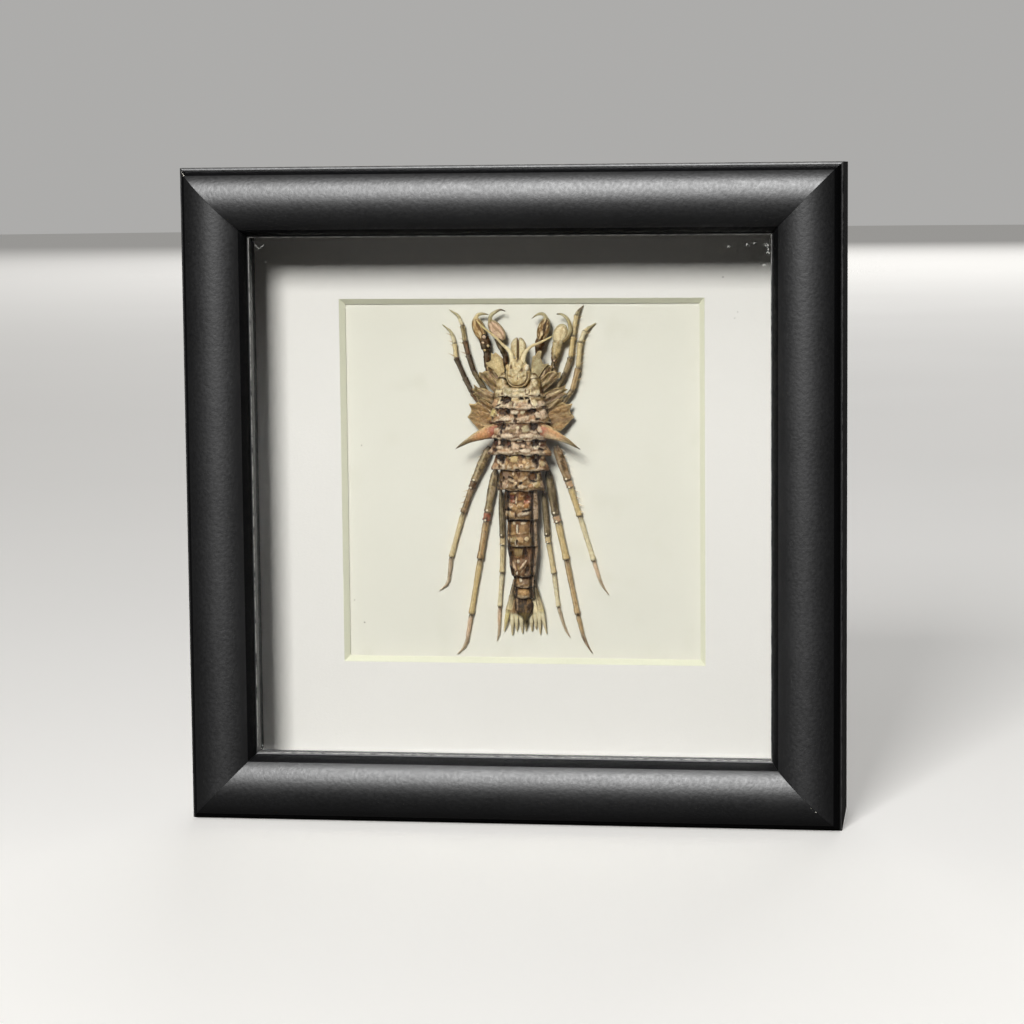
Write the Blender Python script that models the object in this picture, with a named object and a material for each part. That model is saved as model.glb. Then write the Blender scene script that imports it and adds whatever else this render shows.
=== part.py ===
"""Framed amphipod: a dried specimen glued on a card behind glass, in a small black mitred shadow box frame.

The frame stands on its bottom rail and faces -Y. The origin is the middle of its footprint, on the floor.
All sizes below are in millimetres, and MM turns them into metres.
"""

import math

import bmesh
import bpy
from mathutils import Matrix, Vector

MM = 0.001
GAP = 0.3

# Moulding: a half-round face over a rabbet, with its sharp edges broken
FRAME_SIDE = 160.0
RAIL_WIDTH = 17.0
ARRIS_HEIGHT = 29.0
DOME_HEIGHT = 7.0
FILLET_WIDTH = 0.6
LIP_HEIGHT = 30.0
RABBET_HEIGHT = 27.0
RABBET_WALL = 11.9
DOME_STEPS = 14
EDGE_BREAK = 0.2
MITRE_OVERRUN = 1.0
FRAME_DEPTH = ARRIS_HEIGHT + DOME_HEIGHT

# Sheets in the rabbet, each height measured from the back of the frame to the sheet's front face
SHEET_SIDE = FRAME_SIDE - 2 * (RABBET_WALL + GAP)
GLASS_THICKNESS = 2.0
GLASS_FRONT = RABBET_HEIGHT - GAP
MAT_THICKNESS = 1.4
MAT_FRONT = 7.5
WINDOW_SIDE = 91.0
WINDOW_RISE = 1.8
CUTTER_OVERRUN = 2.0
CARD_THICKNESS = 1.0
CARD_FRONT = MAT_FRONT - MAT_THICKNESS - GAP
BOARD_THICKNESS = 2.5
BOARD_FRONT = CARD_FRONT - CARD_THICKNESS - GAP
SPACER_THICKNESS = 1.2

# Fittings on the back board
POINT_LENGTH = 11.0
POINT_WIDTH = 6.0
POINT_THICKNESS = 0.4
POINT_SPREAD = 38.0
HANGER_LENGTH = 38.0
HANGER_WIDTH = 9.0
HANGER_THICKNESS = 0.7
HANGER_BELOW_TOP = 22.0
HANGER_TEETH = 9
TOOTH_FOOT = 2.0
TOOTH_TIP = 3.2
NAIL_RADIUS = 1.6
NAIL_SHANK_SIDE_RADIUS = 1.3
NAIL_THICKNESS = 0.4
NAIL_SIDES = 16

# Specimen: x to the right, s up the card from the frame's middle, h off the card
AXIS_OFFSET = 0.35
AXIS_LEAN = -0.012
UNDERSIDE = GAP
BELLY_TAPER = 0.3
RING_SIDES = 20

# Each segment: front end s, half widths in front and behind, heights of the back and of the widest line
THORAX = (
    (27.2, 4.2, 4.6, 8.2, 5.2),
    (26.2, 5.0, 6.0, 9.0, 5.6),
    (23.4, 6.4, 7.4, 9.7, 5.9),
    (20.5, 7.3, 8.2, 10.2, 6.0),
    (17.1, 7.4, 8.0, 10.6, 6.2),
    (12.9, 7.2, 8.1, 10.5, 6.1),
    (9.2, 6.8, 7.4, 10.2, 6.0),
    (5.4, 5.6, 5.9, 9.8, 5.8),
)
ABDOMEN = (
    (0.4, 4.4, 4.3, 9.3, 5.4),
    (-7.0, 3.9, 3.9, 8.6, 5.0),
    (-13.6, 3.7, 2.8, 7.6, 4.6),
    (-21.1, 2.7, 2.6, 6.4, 4.0),
    (-24.1, 2.3, 2.3, 5.8, 3.7),
)
TAIL_STEM_END = -26.8

# Each ring of a segment: place along it, share of its width, drop of its back, shares of pits and bosses
SEGMENT_RINGS = (
    (0.04, 0.94, 1.6, 0.0, 0.0),
    (0.32, 0.94, 1.3, 1.0, 0.0),
    (0.58, 0.97, 0.6, 0.7, 0.3),
    (0.82, 1.03, 0.0, 0.0, 1.0),
    (0.96, 1.00, 0.5, 0.0, 0.6),
)
PIT_ANGLES = (54.0, 126.0)
PIT_DEPTH = 2.0
THORAX_BOSS_ANGLES = (36.0, 90.0, 144.0)
ABDOMEN_BOSS_ANGLES = (72.0, 108.0)
BOSS_HEIGHT = 1.1
RELIEF_SPREAD = 11.0
FULL_HALF_WIDTH = 8.2

# Side plates on the right, head end first: height at the foot, fall outwards and forwards, then outline
SIDE_PLATES = (
    (
        (5.6, 0.08, 0.06),
        (
            *((4.2, 26.6), (3.4, 29.6), (3.9, 33.6), (4.9, 34.3), (6.2, 34.3)),
            *((6.2, 32.6), (8.0, 31.4), (6.7, 29.8), (5.6, 26.6)),
        ),
    ),
    (
        (5.6, 0.30, 0.10),
        (
            *((4.0, 25.6), (5.2, 27.2), (7.2, 29.3), (8.6, 29.5)),
            *((10.1, 29.2), (10.2, 27.9), (8.1, 26.3), (5.6, 23.8)),
        ),
    ),
    (
        (5.4, 0.26, 0.0),
        (
            *((5.2, 23.6), (8.7, 25.3), (10.3, 25.5), (11.6, 26.3)),
            *((11.2, 25.1), (11.8, 24.1), (9.9, 22.8), (6.0, 20.8)),
        ),
    ),
    (
        (5.2, 0.28, 0.0),
        ((5.8, 20.2), (9.0, 22.8), (10.8, 23.2), (10.2, 21.8), (6.6, 18.4)),
    ),
    (
        (5.0, 0.36, 0.0),
        (
            *((6.0, 19.4), (10.5, 21.9), (12.9, 21.1), (12.3, 19.8)),
            *((13.2, 18.1), (11.6, 16.2), (10.1, 14.7), (6.0, 15.6)),
        ),
    ),
)
PLATE_THICKNESS = 0.6

# Large side spine on the right: x, s, h and radius at each point
SIDE_SPINE = (
    (5.6, 14.9, 7.2, 1.9),
    (8.0, 14.4, 7.8, 1.55),
    (10.0, 13.7, 8.2, 1.1),
    (12.2, 12.7, 8.5, 0.7),
    (14.0, 11.6, 8.6, 0.35),
    (15.5, 10.6, 8.5, 0.1),
)

HEAD_CENTRE = (0.0, 29.1, 5.8)
HEAD_RADII = (3.0, 3.5, 2.9)
BUD_CENTRE = (0.8, 35.1, 5.2)
BUD_RADII = (1.15, 3.1, 1.2)
EYE_CENTRE = (2.35, 30.5, 7.1)
EYE_RADIUS = 0.7

# Walking legs: name, pair, start x and s under the body, then each joint's length and heading
FRONT_HEIGHTS = (1.7, 2.2, 2.1, 1.9, 1.6, 1.4, 0.45)
REAR_HEIGHTS = (2.2, 2.8, 2.7, 2.3, 1.8, 1.1, 0.45)
LEG_PAIRS = {
    "front": (FRONT_HEIGHTS, (0.75, 0.65, 0.65, 0.62, 0.55, 0.42, 0.1)),
    "rear outer": (REAR_HEIGHTS, (1.5, 1.0, 0.85, 0.75, 0.65, 0.5, 0.1)),
    "rear middle": (REAR_HEIGHTS, (1.35, 1.0, 0.95, 0.85, 0.7, 0.55, 0.1)),
    "rear inner": (REAR_HEIGHTS, (0.8, 0.75, 0.7, 0.65, 0.55, 0.4, 0.1)),
}
WALKING_LEGS = (
    (
        "front_leg_outer_left",
        "front",
        (-7.3, 17.4),
        ((8.2, -36), (4.1, -26), (5.4, -24), (3.6, -6), (3.1, -15), (2.9, -56)),
    ),
    (
        "front_leg_outer_right",
        "front",
        (7.4, 17.6),
        ((8.8, 38), (5.8, 15), (6.4, 5), (2.9, 22), (1.3, 50), (2.0, 57)),
    ),
    (
        "front_leg_inner_left",
        "front",
        (-6.8, 20.9),
        ((9.8, -30), (4.2, -18), (3.5, -14), (3.9, -9), (3.0, -23), (2.5, -64)),
    ),
    (
        "front_leg_inner_right",
        "front",
        (6.8, 20.4),
        ((9.4, 27), (4.1, 20), (5.4, 7), (5.3, 9), (1.4, 30), (1.4, 42)),
    ),
    (
        "rear_leg_outer_left",
        "rear outer",
        (-7.9, 10.6),
        ((9.6, -155), (1.6, -158), (6.8, -160), (11.7, -164), (7.4, -173), (2.4, -114)),
    ),
    (
        "rear_leg_outer_right",
        "rear outer",
        (8.6, 10.9),
        ((9.2, 161), (1.6, 162), (7.7, 163), (11.7, 163), (6.6, 163), (2.7, 141)),
    ),
    (
        "rear_leg_middle_left",
        "rear middle",
        (-6.5, 5.0),
        ((11.0, -169), (2.0, -169), (10.0, -170), (14.2, -170), (8.6, -170), (2.7, -126)),
    ),
    (
        "rear_leg_middle_right",
        "rear middle",
        (6.6, 5.0),
        ((11.6, 171), (1.6, 162), (9.8, 168), (14.1, 169), (7.4, 166), (3.2, 144)),
    ),
    (
        "rear_leg_inner_left",
        "rear inner",
        (-5.2, -0.1),
        ((12.0, 179), (1.7, 180), (7.1, -178), (8.7, -175), (7.4, -178), (1.4, -155)),
    ),
    (
        "rear_leg_inner_right",
        "rear inner",
        (5.5, -0.1),
        ((11.6, 176), (1.5, 172), (8.0, 171), (8.5, 173), (6.0, 164), (2.3, 149)),
    ),
)
HIP_SHARE = 0.6
SWELL_PLACE = 0.28
KNUCKLE_SWELL = 1.18
KNUCKLE_LENGTH = 0.45

# Claw arms: name, arm points, hand centre with its heading and radii, then the hooked claw's points
CLAW_ARMS = (
    (
        "claw_arm_outer_left",
        (
            (-7.9, 29.0, 2.2, 0.6),
            (-8.4, 31.5, 2.5, 0.7),
            (-8.3, 34.0, 3.0, 0.8),
            (-8.5, 35.7, 3.6, 1.2),
            (-9.0, 37.8, 4.1, 1.3),
        ),
        ((-10.1, 39.9, 4.2), -21.0, (1.6, 3.0, 1.0)),
        (
            (-11.0, 42.2, 4.3, 0.55),
            (-10.4, 43.3, 4.3, 0.45),
            (-9.2, 43.6, 4.3, 0.35),
            (-7.9, 43.5, 4.2, 0.1),
        ),
    ),
    (
        "claw_arm_inner_left",
        (
            (-3.9, 30.2, 2.4, 0.55),
            (-3.7, 31.9, 3.0, 0.6),
            (-3.8, 33.7, 3.5, 0.65),
            (-4.7, 35.7, 4.2, 0.8),
            (-5.3, 37.6, 4.5, 1.0),
        ),
        ((-5.6, 39.5, 4.6), -38.0, (1.6, 3.1, 1.0)),
        (
            (-7.2, 41.5, 4.8, 0.55),
            (-7.1, 43.0, 4.9, 0.5),
            (-6.0, 44.0, 5.0, 0.4),
            (-4.6, 44.6, 5.0, 0.25),
            (-3.4, 44.2, 5.0, 0.1),
        ),
    ),
    (
        "claw_arm_inner_right",
        ((4.2, 31.0, 2.4, 0.55), (4.4, 33.6, 2.8, 0.65), (4.9, 35.4, 3.8, 1.1), (5.4, 37.3, 4.4, 1.2)),
        ((6.0, 39.7, 4.6), 17.0, (1.55, 3.1, 1.0)),
        ((6.8, 42.4, 4.7, 0.5), (5.9, 43.5, 4.8, 0.42), (4.5, 43.4, 4.9, 0.3), (3.1, 42.4, 4.9, 0.1)),
    ),
    (
        "claw_arm_outer_right",
        (
            (8.2, 27.8, 2.2, 0.6),
            (8.4, 30.8, 2.8, 0.65),
            (8.6, 32.3, 3.2, 0.75),
            (9.0, 34.2, 3.8, 1.1),
            (9.4, 36.4, 4.2, 1.2),
        ),
        ((10.1, 38.5, 4.4), 20.0, (1.8, 2.7, 1.0)),
        (
            (10.7, 36.8, 4.5, 0.6),
            (11.9, 37.9, 4.6, 0.55),
            (12.6, 39.7, 4.8, 0.5),
            (12.4, 41.4, 4.9, 0.45),
            (11.7, 42.6, 4.9, 0.4),
            (10.6, 43.4, 4.9, 0.3),
            (9.3, 43.5, 4.9, 0.1),
        ),
    ),
)

# Antennae: x, s, h and radius at each point
ANTENNAE = (
    (
        "antenna_left",
        (
            (-1.5, 33.1, 7.0, 0.42),
            (-2.0, 34.6, 6.9, 0.42),
            (-3.9, 36.4, 6.9, 0.36),
            (-5.4, 38.0, 6.9, 0.3),
            (-8.5, 40.5, 6.9, 0.22),
            (-10.3, 42.3, 6.8, 0.1),
        ),
    ),
    (
        "antenna_right",
        (
            (1.5, 33.1, 7.0, 0.42),
            (2.2, 34.6, 6.9, 0.42),
            (3.5, 35.8, 6.9, 0.36),
            (5.6, 36.7, 6.9, 0.3),
            (7.8, 37.8, 6.9, 0.2),
            (8.7, 38.4, 6.8, 0.1),
        ),
    ),
)

# Tail fan: x and s at each ray's root, at its joint and at its tip
FAN_RAYS = (
    ((-2.4, -24.2), (-3.4, -30.3), (-4.8, -35.7)),
    ((-1.6, -27.6), (-2.4, -30.2), (-2.7, -36.1)),
    ((-0.7, -28.6), (-1.3, -30.9), (-1.7, -35.4)),
    ((0.1, -28.8), (-0.1, -31.0), (-0.2, -35.8)),
    ((0.9, -28.8), (1.4, -31.2), (0.9, -35.5)),
    ((1.7, -28.6), (2.5, -30.9), (2.4, -35.2)),
    ((2.4, -28.0), (3.6, -30.0), (3.5, -35.2)),
    ((2.9, -27.6), (4.4, -30.1), (4.3, -36.0)),
    ((3.7, -24.2), (5.0, -30.3), (5.9, -35.9)),
)
RAY_HEIGHTS = (2.2, 2.5, 0.7)
RAY_RADII = (0.4, 0.68, 0.14)
TELSON_CENTRE = (0.75, -29.3, 3.2)
TELSON_RADII = (3.3, 2.2, 1.3)

TUBE_DETAIL = 1


def frame_y(height):
    """Depth position of a height measured from the back of the frame."""
    return (FRAME_DEPTH / 2 - height) * MM


def on_card(x, s, h):
    """A place on the card: x to the right, s up from the frame's middle, h off the card."""
    return Vector((x * MM, frame_y(CARD_FRONT + h), (FRAME_SIDE / 2 + s) * MM))


def clear_scene():
    for thing in list(bpy.data.objects):
        bpy.data.objects.remove(thing, do_unlink=True)


def make_collection(name):
    group = bpy.data.collections.new(name)
    bpy.context.scene.collection.children.link(group)
    return group


def make_material(name, colour, roughness, metallic=0.0, transmission=0.0):
    finish = bpy.data.materials.new(name)
    finish.use_nodes = True
    shader = finish.node_tree.nodes["Principled BSDF"]
    shader.inputs["Base Color"].default_value = (*colour, 1.0)
    shader.inputs["Roughness"].default_value = roughness
    shader.inputs["Metallic"].default_value = metallic
    shader.inputs["Transmission Weight"].default_value = transmission
    return finish


def add_part(name, mesh, finish):
    part = bpy.data.objects.new(name, mesh)
    PARTS.objects.link(part)
    part.data.materials.clear()
    part.data.materials.append(finish)
    return part


def mesh_from(bm, name):
    mesh = bpy.data.meshes.new(name)
    bmesh.ops.recalc_face_normals(bm, faces=bm.faces)
    bm.to_mesh(mesh)
    bm.free()
    return mesh


def box_mesh(name, size, centre):
    bm = bmesh.new()
    bmesh.ops.create_cube(bm, size=1.0)
    bmesh.ops.scale(bm, vec=Vector(size) * MM, verts=bm.verts)
    bmesh.ops.translate(bm, vec=Vector(centre) * MM, verts=bm.verts)
    return mesh_from(bm, name)


def evaluated_mesh(source, weld=1e-6):
    """The object's evaluated mesh, with its caps welded, in world space."""
    graph = bpy.context.evaluated_depsgraph_get()
    mesh = bpy.data.meshes.new_from_object(source.evaluated_get(graph))
    bm = bmesh.new()
    bm.from_mesh(mesh)
    bmesh.ops.remove_doubles(bm, verts=bm.verts, dist=weld)
    bm.transform(source.matrix_world)
    bmesh.ops.recalc_face_normals(bm, faces=bm.faces)
    bm.to_mesh(mesh)
    bm.free()
    return mesh


def outline_mesh(name, points, thickness):
    """A flat outline in millimetres, filled and extruded both ways along Z, as a closed mesh."""
    curve = bpy.data.curves.new(name, "CURVE")
    curve.dimensions = "2D"
    curve.fill_mode = "BOTH"
    curve.extrude = thickness * MM / 2
    spline = curve.splines.new("POLY")
    spline.points.add(len(points) - 1)
    for place, (across, up) in zip(spline.points, points):
        place.co = (across * MM, up * MM, 0.0, 1.0)
    spline.use_cyclic_u = True
    guide = bpy.data.objects.new(name, curve)
    PARTS.objects.link(guide)
    mesh = evaluated_mesh(guide)
    bpy.data.objects.remove(guide)
    return mesh


def tube_mesh(name, points):
    """A tube through card places, each with its own radius, closed at both ends."""
    curve = bpy.data.curves.new(name, "CURVE")
    curve.dimensions = "3D"
    curve.bevel_depth = MM
    curve.bevel_resolution = TUBE_DETAIL
    curve.use_fill_caps = True
    spline = curve.splines.new("POLY")
    spline.points.add(len(points) - 1)
    for place, (x, s, h, radius) in zip(spline.points, points):
        place.co = (*on_card(x, s, h), 1.0)
        place.radius = radius
    guide = bpy.data.objects.new(name, curve)
    PARTS.objects.link(guide)
    mesh = evaluated_mesh(guide)
    bpy.data.objects.remove(guide)
    return mesh


def ellipsoid_mesh(name, centre, radii, heading=0.0, columns=10, rows=7):
    """An egg form on the card, its long axis turned by the heading from straight up."""
    bm = bmesh.new()
    bmesh.ops.create_uvsphere(bm, u_segments=columns, v_segments=rows, radius=1.0)
    across, along, off = (radius * MM for radius in radii)
    bmesh.ops.scale(bm, vec=Vector((across, off, along)), verts=bm.verts)
    bm.transform(Matrix.Rotation(math.radians(heading), 4, "Y"))
    bmesh.ops.translate(bm, vec=on_card(*centre), verts=bm.verts)
    return mesh_from(bm, name)


def join_solids(name, meshes, finish):
    """One solid made of overlapping closed meshes."""
    helpers = bpy.data.collections.new(f"{name}_shapes")
    CUTTERS.children.link(helpers)
    for number, mesh in enumerate(meshes[1:]):
        shape = bpy.data.objects.new(f"{name}_shape_{number}", mesh)
        shape.hide_render = True
        shape.display_type = "WIRE"
        helpers.objects.link(shape)
    whole = add_part(name, meshes[0], finish)
    union = whole.modifiers.new("union", "BOOLEAN")
    union.operation = "UNION"
    union.operand_type = "COLLECTION"
    union.collection = helpers
    return whole


def loft_mesh(name, rings):
    """A closed skin over rings of points, all with the same number of points."""
    bm = bmesh.new()
    loops = [[bm.verts.new(point) for point in ring] for ring in rings]
    for near, far in zip(loops, loops[1:]):
        for side in range(len(near)):
            after = (side + 1) % len(near)
            bm.faces.new((near[side], near[after], far[after], far[side]))
    bm.faces.new(list(reversed(loops[0])))
    bm.faces.new(loops[-1])
    return mesh_from(bm, name)


def rail_outline():
    """Section of the moulding: distance in from the outer edge, height from the back."""
    half = RAIL_WIDTH / 2 - FILLET_WIDTH
    dome = []
    for step in range(DOME_STEPS + 1):
        turn = math.pi * step / DOME_STEPS
        rest = ARRIS_HEIGHT + (LIP_HEIGHT - ARRIS_HEIGHT) * step / DOME_STEPS
        across = RAIL_WIDTH / 2 - half * math.cos(turn)
        dome.append((across, rest + (FRAME_DEPTH - rest) * math.sin(turn)))
    return [
        (0.0, 0.0),
        (0.0, ARRIS_HEIGHT - EDGE_BREAK),
        (EDGE_BREAK, ARRIS_HEIGHT),
        *dome,
        (RAIL_WIDTH - EDGE_BREAK, LIP_HEIGHT),
        (RAIL_WIDTH, LIP_HEIGHT - EDGE_BREAK),
        (RAIL_WIDTH, RABBET_HEIGHT),
        (RABBET_WALL, RABBET_HEIGHT),
        (RABBET_WALL, 0.0),
    ]


def rail_mesh():
    """The bottom rail about the frame's middle: extruded past its corners, then cut at both mitres."""
    mesh = outline_mesh("rail", rail_outline(), FRAME_SIDE + 2 * MITRE_OVERRUN)
    bm = bmesh.new()
    bm.from_mesh(mesh)
    # Section across goes up, section height goes to the front, length goes along X
    lay = Matrix(((0, 0, 1), (0, -1, 0), (1, 0, 0))).to_4x4()
    bm.transform(lay)
    bmesh.ops.translate(bm, vec=Vector((0, FRAME_DEPTH / 2, -FRAME_SIDE / 2)) * MM, verts=bm.verts)
    for side in (-1, 1):
        outward = Vector((side, 0, 1)).normalized()
        cut = bmesh.ops.bisect_plane(
            bm,
            geom=list(bm.verts) + list(bm.edges) + list(bm.faces),
            plane_co=-outward * GAP * MM / 2,
            plane_no=outward,
            clear_outer=True,
        )
        rim = [edge for edge in cut["geom_cut"] if isinstance(edge, bmesh.types.BMEdge)]
        bmesh.ops.edgeloop_fill(bm, edges=rim)
    return mesh_from(bm, "rail")


def build_rails():
    mesh = rail_mesh()
    for quarter, side in enumerate(("bottom", "left", "top", "right")):
        rail = add_part(f"frame_rail_{side}", mesh, BLACK_LACQUER)
        rail.location.z = FRAME_SIDE / 2 * MM
        rail.rotation_euler.y = math.radians(90 * quarter)


def build_sheet(name, front, thickness, finish):
    middle = FRAME_DEPTH / 2 - front + thickness / 2
    size = (SHEET_SIDE, thickness, SHEET_SIDE)
    return add_part(name, box_mesh(name, size, (0, middle, FRAME_SIDE / 2)), finish)


def build_spacers():
    """Four equal strips, each end standing against the next one."""
    front = GLASS_FRONT - GLASS_THICKNESS - GAP
    rear = MAT_FRONT + GAP
    length = SHEET_SIDE - SPACER_THICKNESS - GAP
    centre = (
        -(SPACER_THICKNESS + GAP) / 2,
        (FRAME_DEPTH - front - rear) / 2,
        (SPACER_THICKNESS - SHEET_SIDE) / 2,
    )
    mesh = box_mesh("spacer", (length, front - rear, SPACER_THICKNESS), centre)
    for quarter, side in enumerate(("bottom", "left", "top", "right")):
        strip = add_part(f"spacer_{side}", mesh, BLACK_CARD)
        strip.location.z = FRAME_SIDE / 2 * MM
        strip.rotation_euler.y = math.radians(90 * quarter)


def build_window_mat():
    """Mat board with a window whose edges are cut at 45 degrees."""
    mat = build_sheet("window_mat", MAT_FRONT, MAT_THICKNESS, MAT_WHITE)
    bm = bmesh.new()
    corner = math.sqrt(0.5)
    bmesh.ops.create_cone(
        bm,
        cap_ends=True,
        segments=4,
        radius1=(WINDOW_SIDE + 2 * CUTTER_OVERRUN) * corner * MM,
        radius2=(WINDOW_SIDE - 2 * CUTTER_OVERRUN - 2 * MAT_THICKNESS) * corner * MM,
        depth=(2 * CUTTER_OVERRUN + MAT_THICKNESS) * MM,
    )
    bm.transform(Matrix.Rotation(math.radians(45), 4, "Z"))
    bm.transform(Matrix.Rotation(math.radians(-90), 4, "X"))
    place = Vector((0, 0, (FRAME_SIDE / 2 + WINDOW_RISE) * MM))
    place.y = frame_y(MAT_FRONT - MAT_THICKNESS / 2)
    bmesh.ops.translate(bm, vec=place, verts=bm.verts)
    cutter = bpy.data.objects.new("window_cutter", mesh_from(bm, "window_cutter"))
    CUTTERS.objects.link(cutter)
    cutter.hide_render = True
    cutter.display_type = "WIRE"
    window = mat.modifiers.new("window", "BOOLEAN")
    window.operation = "DIFFERENCE"
    window.object = cutter


def build_board_points():
    """Two flat metal points on each side, just off the back board."""
    front = BOARD_FRONT - BOARD_THICKNESS - GAP
    half = POINT_WIDTH / 2
    shoulder = POINT_LENGTH - half
    outline = [(-half, 0), (half, 0), (half, shoulder), (0, POINT_LENGTH), (-half, shoulder)]
    flat = outline_mesh("board_point", outline, POINT_THICKNESS)
    flat.transform(Matrix.Rotation(math.radians(90), 4, "X"))
    number = 0
    for quarter in range(4):
        for side in (-1, 1):
            number += 1
            point = add_part(f"board_point_{number}", flat.copy(), BRIGHT_STEEL)
            turn = Matrix.Rotation(math.radians(90 * quarter), 4, "Y")
            foot = turn @ Vector((side * POINT_SPREAD * MM, 0, -SHEET_SIDE / 2 * MM))
            point.location = foot + Vector((0, frame_y(front - POINT_THICKNESS / 2), FRAME_SIDE / 2 * MM))
            point.rotation_euler.y = math.radians(90 * quarter)


def build_hanger():
    """A pressed strip with a toothed lower edge between its two nails, and the nails' heads."""
    half_length = HANGER_LENGTH / 2
    half_width = HANGER_WIDTH / 2
    toothed = half_length - HANGER_WIDTH
    outline = [(-half_length, half_width), (-half_length, -half_width), (-toothed, -half_width)]
    step = 2 * toothed / HANGER_TEETH
    for tooth in range(HANGER_TEETH):
        start = -toothed + tooth * step
        outline.append((start, -half_width + TOOTH_FOOT))
        outline.append((start + step / 2, -half_width + TOOTH_TIP))
    outline += [(toothed, -half_width + TOOTH_FOOT), (toothed, -half_width)]
    outline += [(half_length, -half_width), (half_length, half_width)]
    outline.reverse()
    front = BOARD_FRONT - BOARD_THICKNESS - GAP
    mesh = outline_mesh("sawtooth_hanger", outline, HANGER_THICKNESS)
    mesh.transform(Matrix.Rotation(math.radians(90), 4, "X"))
    hanger = add_part("sawtooth_hanger", mesh, BRIGHT_STEEL)
    height = FRAME_SIDE - HANGER_BELOW_TOP
    hanger.location = (0, frame_y(front - HANGER_THICKNESS / 2), height * MM)
    nail_front = front - HANGER_THICKNESS - GAP
    for side, word in ((-1, "left"), (1, "right")):
        bm = bmesh.new()
        bmesh.ops.create_cone(
            bm,
            cap_ends=True,
            segments=NAIL_SIDES,
            radius1=NAIL_SHANK_SIDE_RADIUS * MM,
            radius2=NAIL_RADIUS * MM,
            depth=NAIL_THICKNESS * MM,
        )
        bm.transform(Matrix.Rotation(math.radians(90), 4, "X"))
        head = add_part(f"hanger_nail_{word}", mesh_from(bm, "nail"), BRIGHT_STEEL)
        across = side * (half_length - HANGER_WIDTH / 2)
        head.location = (across * MM, frame_y(nail_front - NAIL_THICKNESS / 2), height * MM)


def axis_x(s):
    return AXIS_OFFSET + AXIS_LEAN * s


def bump(turn, angles):
    """How far a place on a ring lies on one of these angles, from 0 to 1."""
    return sum(math.exp(-(((math.degrees(turn) - angle) / RELIEF_SPREAD) ** 2)) for angle in angles)


def armour_ring(s, half_width, back, waist, pits, bosses, boss_angles):
    """One ring of the body's armour: round back, fuller flanks, a narrower belly just off the card."""
    relief = half_width / FULL_HALF_WIDTH
    ring = []
    for side in range(RING_SIDES):
        turn = 2 * math.pi * side / RING_SIDES
        across = math.cos(turn)
        rise = math.sin(turn)
        if rise > 0:
            h = waist + (back - waist) * rise
            h += relief * bosses * BOSS_HEIGHT * bump(turn, boss_angles)
            h -= relief * pits * PIT_DEPTH * bump(turn, PIT_ANGLES)
        else:
            h = waist + (waist - UNDERSIDE) * rise
            across *= 1.0 + BELLY_TAPER * rise
        ring.append(on_card(axis_x(s) + half_width * across, s, h))
    return ring


def armour_mesh():
    segments = [(*segment, THORAX_BOSS_ANGLES) for segment in THORAX]
    segments += [(*segment, ABDOMEN_BOSS_ANGLES) for segment in ABDOMEN]
    ends = [segment[0] for segment in segments[1:]] + [TAIL_STEM_END]
    rings = []
    for (front, fore_width, rear_width, back, waist, boss_angles), rear in zip(segments, ends):
        for along, share, drop, pits, bosses in SEGMENT_RINGS:
            s = front + (rear - front) * along
            half_width = share * (fore_width + (rear_width - fore_width) * along)
            rings.append(armour_ring(s, half_width, back - drop, waist, pits, bosses, boss_angles))
    return loft_mesh("armour", rings)


def plate_mesh(side, slope, outline):
    """One side plate: its outline laid on the card, then sloped down from the flank."""
    mesh = outline_mesh("plate", [(side * x, s) for x, s in outline], PLATE_THICKNESS)
    foot_h, fall_out, fall_forward = slope
    foot_x, foot_s = outline[0]
    shear = Matrix.Identity(4)
    shear[2][0] = -side * fall_out
    shear[2][1] = -fall_forward
    shear[2][3] = (foot_h + fall_out * foot_x + fall_forward * foot_s) * MM
    stand = Matrix.Rotation(math.radians(90), 4, "X")
    mesh.transform(Matrix.Translation(on_card(0, 0, 0)) @ stand @ shear)
    return mesh


def build_body():
    """Armour of head, thorax and abdomen, with side plates, spines, eyes and mouth bud, as one solid."""
    shapes = [armour_mesh(), ellipsoid_mesh("head", HEAD_CENTRE, HEAD_RADII, columns=14, rows=9)]
    for side in (-1, 1):
        bud = (side * BUD_CENTRE[0], *BUD_CENTRE[1:])
        eye = (side * EYE_CENTRE[0], *EYE_CENTRE[1:])
        shapes.append(ellipsoid_mesh("bud", bud, BUD_RADII))
        shapes.append(ellipsoid_mesh("eye", eye, (EYE_RADIUS,) * 3, columns=8, rows=5))
        shapes.append(tube_mesh("spine", [(side * x, *rest) for x, *rest in SIDE_SPINE]))
        for slope, outline in SIDE_PLATES:
            shapes.append(plate_mesh(side, slope, outline))
    join_solids("body", shapes, ARMOUR_CREAM)


def leg_points(start, joints, heights, radii):
    """Points down a leg: thin at the hip, full along the first segment, and a knuckle at each joint."""
    x, s = start
    points = [(x, s, heights[0], radii[0] * HIP_SHARE)]
    for number, (length, heading) in enumerate(joints):
        turn = math.radians(heading)
        step_x, step_s = length * math.sin(turn), length * math.cos(turn)
        step_h = heights[number + 1] - heights[number]
        step_r = radii[number + 1] - radii[number]
        if number == 0:
            places = (SWELL_PLACE, 1 - KNUCKLE_LENGTH / length)
        elif number < len(joints) - 1:
            places = (1 - KNUCKLE_LENGTH / length,)
        else:
            places = ()
        for place in places:
            radius = radii[number] + step_r * (0 if place == SWELL_PLACE else place)
            height = heights[number] + step_h * place
            points.append((x + step_x * place, s + step_s * place, height, radius))
        x += step_x
        s += step_s
        swell = KNUCKLE_SWELL if number < len(joints) - 1 else 1.0
        points.append((x, s, heights[number + 1], radii[number + 1] * swell))
    return points


def build_walking_legs():
    for name, pair, start, joints in WALKING_LEGS:
        heights, radii = LEG_PAIRS[pair]
        add_part(name, tube_mesh(name, leg_points(start, joints, heights, radii)), LEG_TAN)


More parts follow.
